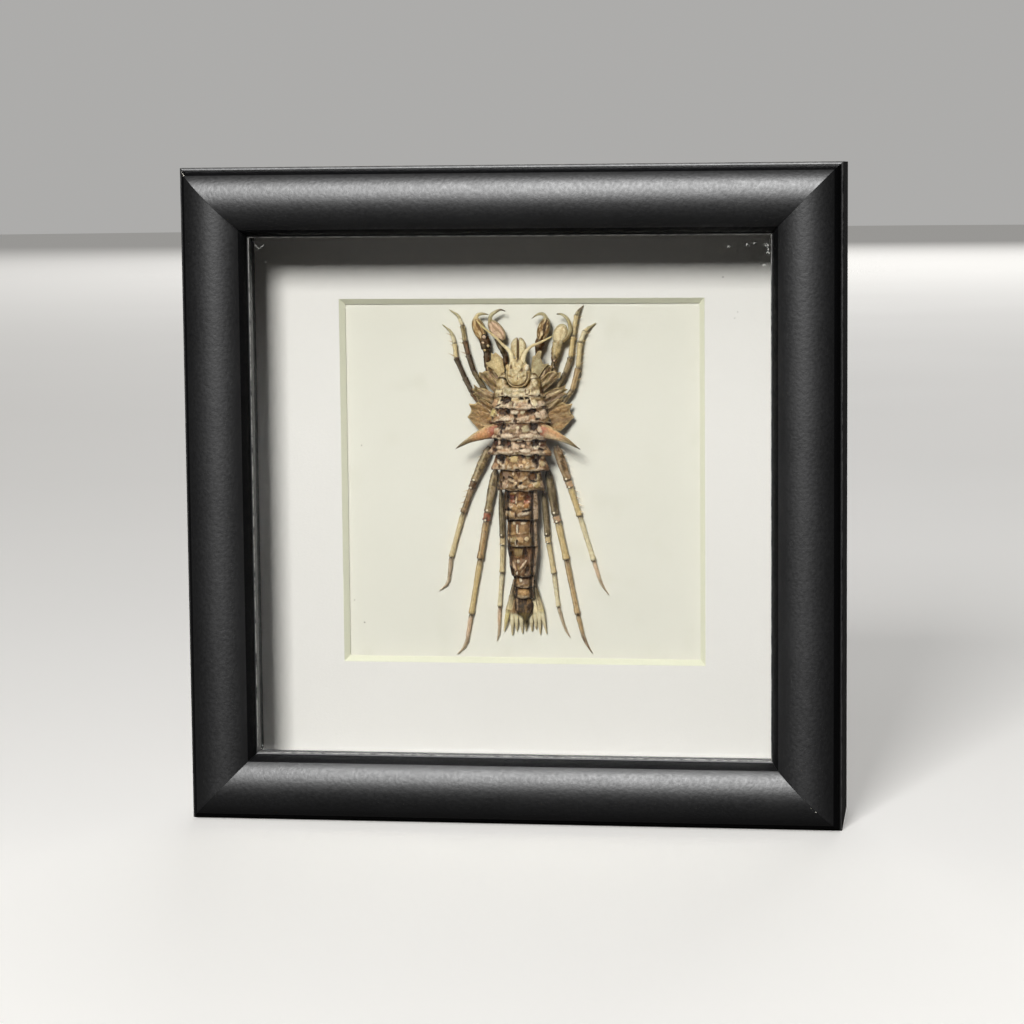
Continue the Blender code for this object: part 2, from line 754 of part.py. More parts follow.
def build_claw_arms():
    for name, arm, (centre, heading, radii), claw in CLAW_ARMS:
        hand = ellipsoid_mesh("hand", centre, radii, heading)
        join_solids(name, [hand, tube_mesh("arm", arm), tube_mesh("claw", claw)], CLAW_TAN)


def build_antennae():
    for name, points in ANTENNAE:
        add_part(name, tube_mesh(name, points), FEELER_CREAM)


def build_tail_fan():
    """The last plate behind the tail stem, with its jointed rays."""
    shapes = [ellipsoid_mesh("telson", TELSON_CENTRE, TELSON_RADII)]
    for ray in FAN_RAYS:
        points = [(x, s, h, radius) for (x, s), h, radius in zip(ray, RAY_HEIGHTS, RAY_RADII)]
        shapes.append(tube_mesh("ray", points))
    join_solids("tail_fan", shapes, TAIL_STRAW)


clear_scene()
PARTS = make_collection("framed_amphipod")
CUTTERS = make_collection("cutters")

BLACK_LACQUER = make_material("black_lacquer", (0.012, 0.012, 0.013), 0.38)
CLEAR_GLASS = make_material("clear_glass", (1.0, 1.0, 1.0), 0.02, transmission=1.0)
BLACK_CARD = make_material("black_card", (0.015, 0.015, 0.015), 0.8)
MAT_WHITE = make_material("mat_white", (0.82, 0.80, 0.77), 0.9)
CARD_CREAM = make_material("card_cream", (0.86, 0.83, 0.72), 0.9)
BOARD_BROWN = make_material("board_brown", (0.24, 0.15, 0.08), 0.8)
BRIGHT_STEEL = make_material("bright_steel", (0.6, 0.6, 0.6), 0.35, metallic=1.0)
ARMOUR_CREAM = make_material("armour_cream", (0.47, 0.36, 0.24), 0.45)
LEG_TAN = make_material("leg_tan", (0.40, 0.30, 0.15), 0.4)
CLAW_TAN = make_material("claw_tan", (0.43, 0.34, 0.18), 0.4)
FEELER_CREAM = make_material("feeler_cream", (0.72, 0.62, 0.42), 0.45)
TAIL_STRAW = make_material("tail_straw", (0.50, 0.47, 0.25), 0.45)

build_rails()
build_sheet("glass_pane", GLASS_FRONT, GLASS_THICKNESS, CLEAR_GLASS)
build_spacers()
build_window_mat()
build_sheet("backing_card", CARD_FRONT, CARD_THICKNESS, CARD_CREAM)
build_sheet("back_board", BOARD_FRONT, BOARD_THICKNESS, BOARD_BROWN)
build_board_points()
build_hanger()
build_body()
build_walking_legs()
build_claw_arms()
build_antennae()
build_tail_fan()
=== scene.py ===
import math
import random

import bmesh
import bpy
import numpy as np
from mathutils import Matrix, Vector, noise


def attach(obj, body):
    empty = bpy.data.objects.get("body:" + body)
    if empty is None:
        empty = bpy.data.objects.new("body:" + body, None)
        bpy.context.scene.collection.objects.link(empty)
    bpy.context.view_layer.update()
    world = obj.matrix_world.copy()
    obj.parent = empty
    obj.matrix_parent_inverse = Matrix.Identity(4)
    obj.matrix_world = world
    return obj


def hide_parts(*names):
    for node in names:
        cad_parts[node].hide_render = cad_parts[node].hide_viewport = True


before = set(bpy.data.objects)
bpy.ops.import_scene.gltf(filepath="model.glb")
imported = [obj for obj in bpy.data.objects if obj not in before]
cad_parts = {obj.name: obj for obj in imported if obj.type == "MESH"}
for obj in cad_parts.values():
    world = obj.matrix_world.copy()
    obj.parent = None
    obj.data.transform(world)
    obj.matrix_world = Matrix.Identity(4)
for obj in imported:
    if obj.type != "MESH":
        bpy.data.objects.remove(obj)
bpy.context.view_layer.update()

# Camera
# The picture is taken with a long lens, from a little to the right of the frame and a little above it,
# with the camera rolled by half a degree.
MM = 0.001
SENSOR = 36.0
LENS = 108.29
CAMERA_PLACE = Vector((0.1076, -0.7424, 0.15814))
PITCH = math.radians(6.29)
YAW = math.radians(-8.328)
ROLL = math.radians(0.558)
NEAREST_SEEN = 0.01

upright = Matrix(((1, 0, 0), (0, 0, -1), (0, 1, 0)))
sight = Matrix.Rotation(ROLL, 3, "Z") @ Matrix.Rotation(PITCH, 3, "X") @ Matrix.Rotation(YAW, 3, "Y")
lens = bpy.data.cameras.new("camera")
lens.sensor_width = SENSOR
lens.lens = LENS
lens.clip_start = NEAREST_SEEN
camera = bpy.data.objects.new("camera", lens)
bpy.context.scene.collection.objects.link(camera)
camera.matrix_world = Matrix.Translation(CAMERA_PLACE) @ (upright @ sight.transposed()).to_4x4()
bpy.context.scene.camera = camera
bpy.context.scene.view_settings.view_transform = "Standard"


def paint(red, green, blue):
    """The linear colour of screen values from 0 to 255, by the sRGB standard's formula."""
    parts = (red, green, blue)
    return tuple(((part / 255 + 0.055) / 1.055) ** 2.4 if part > 10 else part / 3295 for part in parts)


class Wire:
    """One output of a node. Python arithmetic on it adds Math nodes."""

    def __init__(self, finish, socket):
        self.finish = finish
        self.socket = socket

    def math(self, operation, *values):
        return self.finish.node("Math", {"operation": operation}, dict(enumerate(values)))

    def __add__(self, other):
        return self.math("ADD", self, other)

    def __mul__(self, other):
        return self.math("MULTIPLY", self, other)

    __radd__ = __add__
    __rmul__ = __mul__


# Patches to the metre in the ragged edge of a chip or a fleck
RAGGED_SCALE = 2600


class Finish:
    """A material while it is being made. node() adds any node and hands back one of its outputs."""

    def __init__(self, name):
        self.material = bpy.data.materials.new(name)
        self.material.use_nodes = True
        self.tree = self.material.node_tree
        self.tree.nodes.clear()

    def node(self, kind, settings=None, sockets=None, give=0):
        made = self.tree.nodes.new("ShaderNode" + kind)
        for name, value in (settings or {}).items():
            if name == "stops":
                for _ in range(len(value) - 2):
                    made.color_ramp.elements.new(0.5)
                for element, (place, shade) in zip(made.color_ramp.elements, value):
                    element.position = place
                    element.color = (*shade[:3], 1.0)
            else:
                setattr(made, name, value)
        for name, value in (sockets or {}).items():
            if isinstance(value, Wire):
                self.tree.links.new(value.socket, made.inputs[name])
            elif made.inputs[name].type == "RGBA":
                made.inputs[name].default_value = (*value[:3], 1.0)
            else:
                made.inputs[name].default_value = value
        return Wire(self, made.outputs[give])

    def spot(self, scale, detail=3.0, stretch=(1, 1, 1)):
        """Noise from 0 to 1 over the piece, scale in patches to the metre."""
        place = self.node("TexCoord", give="Object")
        place = self.node("Mapping", None, {"Vector": place, "Scale": stretch})
        return self.node("TexNoise", None, {"Vector": place, "Scale": scale, "Detail": detail})

    def ramp(self, value, *stops):
        return self.node("ValToRGB", {"stops": stops}, {"Fac": value})

    def mix(self, share, first, second, blend="MIX"):
        settings = {"data_type": "RGBA", "blend_type": blend}
        return self.node("Mix", settings, {0: share, 6: first, 7: second}, 2)

    def near(self, *spots):
        """1 within ragged spots, each x, y, z and a radius in metres."""
        place = self.node("TexCoord", give="Object")
        ragged = self.spot(RAGGED_SCALE, 3) * 2.0
        share = None
        for *spot, radius in spots:
            away = self.node("VectorMath", {"operation": "DISTANCE"}, {0: place, 1: spot}, "Value")
            inside = away.math("LESS_THAN", away, ragged * radius)
            share = inside if share is None else inside.math("MAXIMUM", inside, share)
        return share

    def bump(self, height, depth, strength=1.0):
        """A relief of that real depth in metres."""
        return self.node("Bump", None, {"Height": height, "Distance": depth, "Strength": strength}, "Normal")

    def coat(self, **sockets):
        """Ends the material in one Principled shader. Socket names are written with underscores."""
        named = {name.replace("_", " "): value for name, value in sockets.items()}
        return self.end(self.node("BsdfPrincipled", None, named))

    def end(self, shader):
        output = self.tree.nodes.new("ShaderNodeOutputMaterial")
        self.tree.links.new(shader.socket, output.inputs["Surface"])
        return self.material


def add_object(name, mesh, finish):
    """Puts a finished mesh in the scene at the origin."""
    made = bpy.data.objects.new(name, mesh)
    bpy.context.scene.collection.objects.link(made)
    if not mesh.materials:
        mesh.materials.append(finish)
    return made


# Studio
# A plain pale floor and a plain pale room, both of which throw little light back. A soft lamp, high and a
# little to the left in front of the frame, lights it, a wider one above it adds long bands of gloss, and a
# weak one lights the back.
FLOOR_REACH = 8.0
FLOOR_SIDES = 96
FLOOR_PALE = paint(236, 234, 230)
FLOOR_SHADE = paint(228, 226, 222)
FLOOR_GLOW = 0.34
FLOOR_DIM = paint(92, 91, 90)
ROOM_PALE = paint(214, 213, 211)
ROOM_SEEN = 0.62
ROOM_LIGHT = 0.045
FRAME_SIDE = 160.0
KEY_WAY = Vector((-0.12, -1.0, 0.50))
KEY_DISTANCE = 1.4
KEY_SIDE = 0.33
KEY_POWER = 20.0
BAND_WAY = Vector((-0.05, -1.0, 1.12))
BAND_DISTANCE = 1.4
BAND_WIDTH = 0.7
BAND_HEIGHT = 0.36
BAND_POWER = 46.0
BACK_WAY = Vector((0.0, 1.0, 0.45))
BACK_DISTANCE = 5.5
BACK_SIDE = 2.6
BACK_POWER = 84.0


def floor_finish():
    """Pale to the camera, and dim to the light that would bounce off it on to the frame."""
    finish = Finish("pale_floor")
    cloud = finish.spot(3.0)
    pale = finish.mix(cloud, FLOOR_PALE, FLOOR_SHADE)
    glow = {"Emission Color": FLOOR_PALE, "Emission Strength": FLOOR_GLOW}
    looks = {"Base Color": pale, "Roughness": 0.75 + cloud * 0.1, **glow}
    seen = finish.node("BsdfPrincipled", None, looks)
    dim = finish.node("BsdfDiffuse", None, {"Color": FLOOR_DIM})
    straight = finish.node("LightPath", give="Is Camera Ray")
    return finish.end(finish.node("MixShader", None, {0: straight, 1: dim, 2: seen}))


bm = bmesh.new()
bmesh.ops.create_circle(bm, cap_ends=True, segments=FLOOR_SIDES, radius=FLOOR_REACH)
floor_mesh = bpy.data.meshes.new("floor")
bm.to_mesh(floor_mesh)
bm.free()
add_object("floor", floor_mesh, floor_finish())

room = bpy.data.worlds.new("room")
room.use_nodes = True
backdrop = room.node_tree.nodes["Background"]
backdrop.inputs["Color"].default_value = (*ROOM_PALE, 1.0)
ray = room.node_tree.nodes.new("ShaderNodeLightPath")
strength = room.node_tree.nodes.new("ShaderNodeMapRange")
strength.inputs["To Min"].default_value = ROOM_LIGHT
strength.inputs["To Max"].default_value = ROOM_SEEN
room.node_tree.links.new(ray.outputs["Is Camera Ray"], strength.inputs["Value"])
room.node_tree.links.new(strength.outputs[0], backdrop.inputs["Strength"])
bpy.context.scene.world = room


def hang_lamp(name, way, distance, width, height, power):
    """A soft lamp that faces the middle of the frame."""
    light = bpy.data.lights.new(name, "AREA")
    light.shape = "RECTANGLE"
    light.size = width
    light.size_y = height
    light.energy = power
    lamp = bpy.data.objects.new(name, light)
    bpy.context.scene.collection.objects.link(lamp)
    lamp.location = Vector((0, 0, FRAME_SIDE / 2 * MM)) + way.normalized() * distance
    lamp.rotation_euler = way.to_track_quat("Z", "Y").to_euler()
    return lamp


hang_lamp("key_lamp", KEY_WAY, KEY_DISTANCE, KEY_SIDE, KEY_SIDE, KEY_POWER)
band_lamp = hang_lamp("band_lamp", BAND_WAY, BAND_DISTANCE, BAND_WIDTH, BAND_HEIGHT, BAND_POWER)
band_lamp.visible_diffuse = False
back_lamp = hang_lamp("back_lamp", BACK_WAY, BACK_DISTANCE, BACK_SIDE, BACK_SIDE, BACK_POWER)
back_lamp.visible_camera = False

# Moulding
# Four lengths of half-round softwood moulding, sanded, stained black and sprayed with satin lacquer, then
# mitred, glued and pinned. A rabbet behind the lip takes the glass. Its sharp edges are worn round.
RAIL_WIDTH = 17.0
FRAME_DEPTH = 36.0
ARRIS_HEIGHT = 29.0
LIP_HEIGHT = 30.0
RABBET_HEIGHT = 27.0
RABBET_WALL = 11.9
FILLET = 0.6
ROUNDING = 0.22
MITRE_SEAM = 0.03
DOME_POINTS = 64
# Next to both edges of the dome the lacquer has little gloss, so these bands stand dark: painted shade
DULL_POINTS = 13
ROUNDING_POINTS = 4
# Faces with a side shorter than this belong to a curve
NARROW = 0.7
GAP = 0.3
# Finishes of the section's faces: dome and back, worn arris, rubbed lip, dull zones. The grey of the worn
# arris and the rubbed lip is partly wear and partly a painted highlight along those edges
PLAIN, ARRIS, LIP, DULL = range(4)
# Chips in the lacquer at two mitres: x, s, height from the back and radius
CHIPS = (
    *((-79.5, 79.5, 30.3, 0.3), (-79.1, 79.1, 31.2, 0.3), (-78.7, 78.7, 32.1, 0.25)),
    *((-78.2, 78.2, 32.8, 0.25), (72.9, -73.2, 35.95, 0.13), (74.0, -74.2, 35.6, 0.13)),
)


def frame_y(height):
    """Depth position of a height in millimetres from the back of the frame."""
    return (FRAME_DEPTH / 2 - height) * MM


def rounded(corner, before, after):
    """Points of a small rounding at a corner, from the side of one neighbour to the side of the other."""
    corner = Vector(corner)
    start = corner + (Vector(before) - corner).normalized() * ROUNDING
    stop = corner + (Vector(after) - corner).normalized() * ROUNDING
    points = []
    for step in range(ROUNDING_POINTS + 1):
        share = step / ROUNDING_POINTS
        points.append((1 - share) ** 2 * start + 2 * share * (1 - share) * corner + share**2 * stop)
    return points


def moulding_section():
    """Points of the section, in from the outer edge and up from the back, each with its finish."""
    half = RAIL_WIDTH / 2 - FILLET
    dome = []
    for step in range(DOME_POINTS + 1):
        turn = math.pi * step / DOME_POINTS
        rest = ARRIS_HEIGHT + (LIP_HEIGHT - ARRIS_HEIGHT) * step / DOME_POINTS
        rise = (FRAME_DEPTH - rest) * math.sin(turn)
        dome.append(Vector((RAIL_WIDTH / 2 - half * math.cos(turn), rest + rise)))
    back_outer, back_inner = (0.0, 0.0), (RABBET_WALL, 0.0)
    arris, lip = (0.0, ARRIS_HEIGHT), (RAIL_WIDTH, LIP_HEIGHT)
    lip_back, rabbet = (RAIL_WIDTH, RABBET_HEIGHT), (RABBET_WALL, RABBET_HEIGHT)
    runs = (
        (rounded(back_outer, back_inner, arris), PLAIN),
        (rounded(arris, back_outer, dome[0]), ARRIS),
        (dome[:DULL_POINTS], DULL),
        (dome[DULL_POINTS:-DULL_POINTS], PLAIN),
        (dome[-DULL_POINTS:], DULL),
        (rounded(lip, dome[-1], lip_back), LIP),
        (rounded(lip_back, lip, rabbet), PLAIN),
        ([Vector(rabbet)], PLAIN),
        (rounded(back_inner, rabbet, back_outer), PLAIN),
    )
    return [(point, zone) for points, zone in runs for point in points]


def close_mesh(bm, name):
    """Turns a closed bmesh into a mesh with its faces outward. Only the faces of its curves are smooth."""
    bmesh.ops.recalc_face_normals(bm, faces=bm.faces)
    for face in bm.faces:
        face.smooth = len(face.verts) == 4 and min(edge.calc_length() for edge in face.edges) < NARROW * MM
    for edge in bm.edges:
        edge.smooth = all(face.smooth for face in edge.link_faces)
    mesh = bpy.data.meshes.new(name)
    bm.to_mesh(mesh)
    bm.free()
    return mesh


def rail_mesh(name, quarter):
    """One rail: the section run from mitre to mitre, then turned to its side of the frame."""
    section = moulding_section()
    bm = bmesh.new()
    loops = []
    for side in (-1, 1):
        loop = []
        for (across, height), _ in section:
            reach = side * (FRAME_SIDE / 2 - across - MITRE_SEAM)
            loop.append(bm.verts.new(Vector((reach, FRAME_DEPTH / 2 - height, across - FRAME_SIDE / 2)) * MM))
        loops.append(loop)
    count = len(loops[0])
    for point in range(count):
        after = (point + 1) % count
        face = bm.faces.new((loops[0][point], loops[0][after], loops[1][after], loops[1][point]))
        zone = section[point][1]
        face.material_index = zone if zone == section[after][1] else PLAIN
    for loop in loops:
        bm.faces.new(loop)
    bm.transform(Matrix.Rotation(math.radians(90 * quarter), 4, "Y"))
    bm.transform(Matrix.Translation((0, 0, FRAME_SIDE / 2 * MM)))
    return close_mesh(bm, name)


def place_at(x, s, height):
    """A place given across and up from the frame's middle and in height from its back, all in millimetres."""
    return (x * MM, frame_y(height), (FRAME_SIDE / 2 + s) * MM)


def lacquer_finish(name, wear=0.0, gloss=0.5):
    """Black satin lacquer, its gloss broken up by an orange peel. Grey shows where worn, partly a painted
    highlight.
    """
    finish = Finish(name)
    peel = finish.spot(1250, 6)
    speck = finish.ramp(finish.spot(3600, 3), (0.52, (0, 0, 0)), (0.7, (1, 1, 1)))
    cloud = finish.spot(70, 4)
    shade = finish.mix(cloud, paint(11, 11, 12), paint(19, 19, 20))
    shade = finish.mix(speck * 0.12, shade, paint(58, 58, 59))
    if wear:
        rub = finish.ramp(finish.spot(420, 5), (0.34, (0, 0, 0)), (0.6, (1, 1, 1)))
        shade = finish.mix(rub * wear, shade, paint(150, 149, 144))
    chips = finish.near(*((*place_at(*spot), radius * MM) for *spot, radius in CHIPS))
    shade = finish.mix(chips, shade, paint(226, 222, 210))
    relief = finish.bump(peel, 0.00011, 0.5)
    rough = 0.33 + peel * 0.24 + cloud * 0.06
    return finish.coat(Base_Color=shade, Roughness=rough, Normal=relief, Specular_IOR_Level=gloss)


def fit_piece(name, mesh, finish, slot, *nodes):
    """Adds a piece of the object, which stands for the named nodes."""
    piece = add_object(name, mesh, finish)
    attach(piece, "root")
    if nodes:
        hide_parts(*nodes)
    return piece


black_lacquer = lacquer_finish("black_lacquer")
# In the order of the zones ARRIS, LIP and DULL. The worn grey on the arris and the lip is partly wear and
# partly a painted highlight along those edges
edge_lacquers = (
    lacquer_finish("edge_lacquer", 0.2, 0.15),
    lacquer_finish("lip_lacquer", 0.8),
    lacquer_finish("dull_lacquer", 0.0, 0.03),
)
for quarter, side in enumerate(("bottom", "left", "top", "right")):
    name = f"moulding_{side}"
    rail = fit_piece(name, rail_mesh(name, quarter), black_lacquer, "black_lacquer", f"frame_rail_{side}")
    for lacquer in edge_lacquers:
        rail.data.materials.append(lacquer)

# Glass
# A clear 2 mm pane held against the lip by the spacers. Its cut edges are arrissed. It lets the lamps through
# to the specimen, and mirrors only a little of the room.
SHEET_SIDE = FRAME_SIDE - 2 * (RABBET_WALL + GAP)
GLASS_THICKNESS = 2.0
GLASS_FRONT = RABBET_HEIGHT - GAP
GLASS_EDGE = 0.15
GLASS_TINT = (0.985, 0.995, 0.988)
GLASS_IOR = 1.45


def slab_mesh(name, size, centre, edge):
    """A box in millimetres with its edges broken."""
    bm = bmesh.new()
    bmesh.ops.create_cube(bm, size=1.0)
    bmesh.ops.scale(bm, vec=Vector(size) * MM, verts=bm.verts)
    bmesh.ops.translate(bm, vec=Vector(centre) * MM, verts=bm.verts)
    bmesh.ops.bevel(bm, geom=list(bm.edges), offset=edge * MM, segments=2, affect="EDGES", profile=0.5)
    return close_mesh(bm, name)


def sheet_mesh(name, front, thickness, edge):
    """A full square sheet in the rabbet, its front face at a height from the back of the frame."""
    middle = FRAME_DEPTH / 2 - front + thickness / 2
    return slab_mesh(name, (SHEET_SIDE, thickness, SHEET_SIDE), (0, middle, FRAME_SIDE / 2), edge)


def glass_finish():
    finish = Finish("clear_glass")
    body = {"Base Color": GLASS_TINT, "Roughness": 0.0, "IOR": GLASS_IOR, "Transmission Weight": 1.0}
    glass = finish.node("BsdfPrincipled", None, body)
    open_way = finish.node("BsdfTransparent", None, {"Color": GLASS_TINT})
    lamp_ray = finish.node("LightPath", give="Is Shadow Ray")
    soft_ray = finish.node("LightPath", give="Is Diffuse Ray")
    both = lamp_ray.math("MAXIMUM", lamp_ray, soft_ray)
    return finish.end(finish.node("MixShader", None, {0: both, 1: glass, 2: open_way}))


glass_mesh = sheet_mesh("glass", GLASS_FRONT, GLASS_THICKNESS, GLASS_EDGE)
fit_piece("glass", glass_mesh, glass_finish(), "clear_glass", "glass_pane")

# Dust
# Pale grey flakes of dust that have settled in three corners of the pane's outer side. A fine scratch, bent
# in two places, runs beside those in the upper left one.

# Clusters of flakes: x, s, spread and how many
DUST_CLUSTERS = (
    *((52.9, 60.1, 0.4, 7), (57.3, 60.5, 0.5, 5), (58.8, 60.9, 0.4, 4), (61.8, 60.7, 0.7, 9)),
    *((62.1, 58.9, 0.5, 6), (61.3, 55.6, 0.5, 5), (-64.0, -62.8, 0.6, 6), (-62.6, -62.7, 0.6, 7)),
    *((-64.2, -60.8, 0.4, 3), (-59.6, 57.2, 0.15, 2)),
)
DUST_SEED = 11
SCRATCH = ((-62.9, 62.6), (-62.2, 61.2), (-61.3, 60.3), (-59.9, 61.3))
SCRATCH_WIDTH = 0.08
FLAKE_SIZES = (0.08, 0.22)
FLAKE_SIDES = 7
# Heights of a flake's front and back, just off the pane
DUST_LAYERS = (26.78, 26.74)


def flat_flake(bm, outline):
    """A flake: its outline in x and s, between the two dust layers."""
    loops = [[bm.verts.new(place_at(x, s, height)) for x, s in outline] for height in DUST_LAYERS]
    for corner in range(len(outline)):
        after = (corner + 1) % len(outline)
        bm.faces.new((loops[0][corner], loops[0][after], loops[1][after], loops[1][corner]))
    for loop in loops:
        bm.faces.new(loop)


def dust_mesh():
    chance = random.Random(DUST_SEED)
    bm = bmesh.new()
    for centre_x, centre_s, spread, count in DUST_CLUSTERS:
        for _ in range(count):
            x, s = chance.gauss(centre_x, spread / 2), chance.gauss(centre_s, spread / 2)
            size = chance.uniform(*FLAKE_SIZES)
            outline = []
            for side in range(FLAKE_SIDES):
                turn = 2 * math.pi * side / FLAKE_SIDES
                reach = size * chance.uniform(0.5, 1.0)
                outline.append((x + reach * math.cos(turn), s + reach * math.sin(turn)))
            flat_flake(bm, outline)
    for (start_x, start_s), (stop_x, stop_s) in zip(SCRATCH, SCRATCH[1:]):
        across = Vector((start_s - stop_s, stop_x - start_x)).normalized() * (SCRATCH_WIDTH / 2)
        start, stop = Vector((start_x, start_s)), Vector((stop_x, stop_s))
        flat_flake(bm, [start - across, stop - across, stop + across, start + across])
    return close_mesh(bm, "glass_dust")


def dust_finish():
    finish = Finish("dust")
    lint = finish.spot(2500, 3)
    shade = finish.mix(lint, paint(226, 226, 220), paint(176, 176, 170))
    return finish.coat(Base_Color=shade, Roughness=0.85 + lint * 0.1, Normal=finish.bump(lint, 0.00002))


fit_piece("glass_dust", dust_mesh(), dust_finish(), "mat_white", "glass_pane")

# Spacers
# Four strips of black foam-cored card on edge round the rabbet, each butted against the next. They hold
# the glass off the mat and make the dark wall inside the lip.
SPACER_THICKNESS = 1.2
SPACER_EDGE = 0.1
MAT_FRONT = 7.5


def black_card_finish():
    finish = Finish("black_card")
    fibre = finish.spot(900, 4, (1, 1, 6))
    shade = finish.mix(fibre, paint(20, 20, 20), paint(38, 37, 36))
    return finish.coat(Base_Color=shade, Roughness=0.75 + fibre * 0.15, Normal=finish.bump(fibre, 0.00004))


black_card = black_card_finish()
spacer_front = GLASS_FRONT - GLASS_THICKNESS - GAP
spacer_rear = MAT_FRONT + GAP
spacer_length = SHEET_SIDE - SPACER_THICKNESS - GAP
spacer_size = (spacer_length, spacer_front - spacer_rear, SPACER_THICKNESS)
spacer_centre = (
    -(SPACER_THICKNESS + GAP) / 2,
    (FRAME_DEPTH - spacer_front - spacer_rear) / 2,
    (SPACER_THICKNESS - SHEET_SIDE) / 2,
)
for quarter, side in enumerate(("bottom", "left", "top", "right")):
    strip = slab_mesh(f"spacer_strip_{side}", spacer_size, spacer_centre, SPACER_EDGE)
    strip.transform(Matrix.Rotation(math.radians(90 * quarter), 4, "Y"))
    strip.transform(Matrix.Translation((0, 0, FRAME_SIDE / 2 * MM)))
    fit_piece(f"spacer_strip_{side}", strip, black_card, "black_card", f"spacer_{side}")

# Window mat
# White mat board 1.4 mm thick. Its window is cut with a tilted blade, so the cream core shows as a narrow
# bevel all round, with the face paper burnished over at the cut.
MAT_THICKNESS = 1.4
WINDOW_SIDE = 91.0
WINDOW_RISE = 1.8
CUT_ROUNDING = 0.06
# Flecks on the face paper: x, s and radius
MAT_FLECKS = ((50.0, 52.3, 0.22), (53.6, 43.8, 0.15), (52.9, 42.3, 0.15))
MAT_EDGE = 0.1
# The rings from which the cut runs down to the next ring
CUT_RINGS = (4, 5, 6)


def square(side, rise=0.0):
    """Corners of a square about the frame's middle, in millimetres from it."""
    half = side / 2
    return [(-half, rise - half), (half, rise - half), (half, rise + half), (-half, rise + half)]


def mat_mesh():
    """Rings of four corners from the outer back edge round the front and down the bevel to the back."""
    back = MAT_FRONT - MAT_THICKNESS
    rings = [
        (square(SHEET_SIDE), back + MAT_EDGE),
        (square(SHEET_SIDE), MAT_FRONT - MAT_EDGE),
        (square(SHEET_SIDE - 2 * MAT_EDGE), MAT_FRONT),
        (square(WINDOW_SIDE + 2 * CUT_ROUNDING, WINDOW_RISE), MAT_FRONT),
        (square(WINDOW_SIDE, WINDOW_RISE), MAT_FRONT - CUT_ROUNDING / 2),
        (square(WINDOW_SIDE - 2 * CUT_ROUNDING, WINDOW_RISE), MAT_FRONT - 3 * CUT_ROUNDING / 2),
        (square(WINDOW_SIDE - 2 * MAT_THICKNESS + 2 * CUT_ROUNDING, WINDOW_RISE), back + CUT_ROUNDING),
        (square(WINDOW_SIDE - 2 * MAT_THICKNESS + 3 * CUT_ROUNDING, WINDOW_RISE), back),
        (square(SHEET_SIDE - 2 * MAT_EDGE), back),
    ]
    bm = bmesh.new()
    loops = []
    for corners, height in rings:
        loops.append([bm.verts.new(place_at(x, s, height)) for x, s in corners])
    for ring, loop in enumerate(loops):
        other = loops[(ring + 1) % len(loops)]
        for corner in range(4):
            after = (corner + 1) % 4
            face = bm.faces.new((loop[corner], loop[after], other[after], other[corner]))
            face.material_index = int(ring in CUT_RINGS)
    return close_mesh(bm, "mat_board")


def mat_face_finish():
    finish = Finish("mat_white")
    tooth = finish.spot(1500, 5)
    cloud = finish.spot(20, 3)
    shade = finish.mix(cloud, paint(246, 240, 235), paint(240, 235, 229))
    flecks = finish.near(*((*place_at(*spot, MAT_FRONT), radius * MM) for *spot, radius in MAT_FLECKS))
    shade = finish.mix(flecks * 0.5, shade, paint(120, 114, 104))
    return finish.coat(Base_Color=shade, Roughness=0.85 + tooth * 0.1, Normal=finish.bump(tooth, 0.00004))


def mat_core_finish():
    finish = Finish("mat_core")
    fibre = finish.spot(2500, 4)
    shade = finish.mix(fibre, paint(240, 238, 216), paint(226, 223, 198))
    return finish.coat(Base_Color=shade, Roughness=0.9 + fibre * 0.1, Normal=finish.bump(fibre, 0.00005))


mat_board = fit_piece("mat_board", mat_mesh(), mat_face_finish(), "mat_white", "window_mat")
mat_board.data.materials.append(mat_core_finish())

# Backing card
# Smooth cream card, one sheet the size of the rabbet, that the specimen is glued to. It has yellowed
# unevenly and holds a few faint specks.
CARD_THICKNESS = 1.0
CARD_EDGE = 0.08
CARD_FRONT = MAT_FRONT - MAT_THICKNESS - GAP
# Specks: x, s and radius
CARD_FLECKS = ((-40.6, 10.7, 0.22), (-43.0, -28.4, 0.18), (-40.5, -34.0, 0.22))


def card_finish():
    finish = Finish("card_cream")
    cloud = finish.spot(35, 4)
    blot = finish.ramp(finish.spot(110, 4), (0.58, (0, 0, 0)), (0.8, (1, 1, 1)))
    tooth = finish.spot(1300, 5)
    shade = finish.mix(cloud, paint(240, 235, 222), paint(232, 227, 212))
    shade = finish.mix(blot * 0.35, shade, paint(216, 211, 192))
    flecks = finish.near(*((*place_at(*spot, CARD_FRONT), radius * MM) for *spot, radius in CARD_FLECKS))
    shade = finish.mix(flecks * 0.6, shade, paint(140, 128, 104))
    return finish.coat(Base_Color=shade, Roughness=0.8 + tooth * 0.15, Normal=finish.bump(tooth, 0.00003))


card_mesh = sheet_mesh("cream_card", CARD_FRONT, CARD_THICKNESS, CARD_EDGE)
fit_piece("cream_card", card_mesh, card_finish(), "card_cream", "backing_card")

# Back
# Brown hardboard closes the frame. Flexible steel points, pressed over, hold it, and a toothed steel hanger
# is nailed across it below the top.
BOARD_THICKNESS = 2.5
BOARD_FRONT = CARD_FRONT - CARD_THICKNESS - GAP
BOARD_EDGE = 0.2
BOARD_POINTS = 8


def hardboard_finish():
    finish = Finish("hardboard")
    fibre = finish.spot(700, 6)
    fleck = finish.ramp(finish.spot(1800, 3), (0.55, (0, 0, 0)), (0.7, (1, 1, 1)))
    shade = finish.mix(fibre, paint(96, 66, 42), paint(140, 102, 66))
    shade = finish.mix(fleck * 0.5, shade, paint(176, 140, 98))
    return finish.coat(Base_Color=shade, Roughness=0.7 + fibre * 0.2, Normal=finish.bump(fibre, 0.0001))


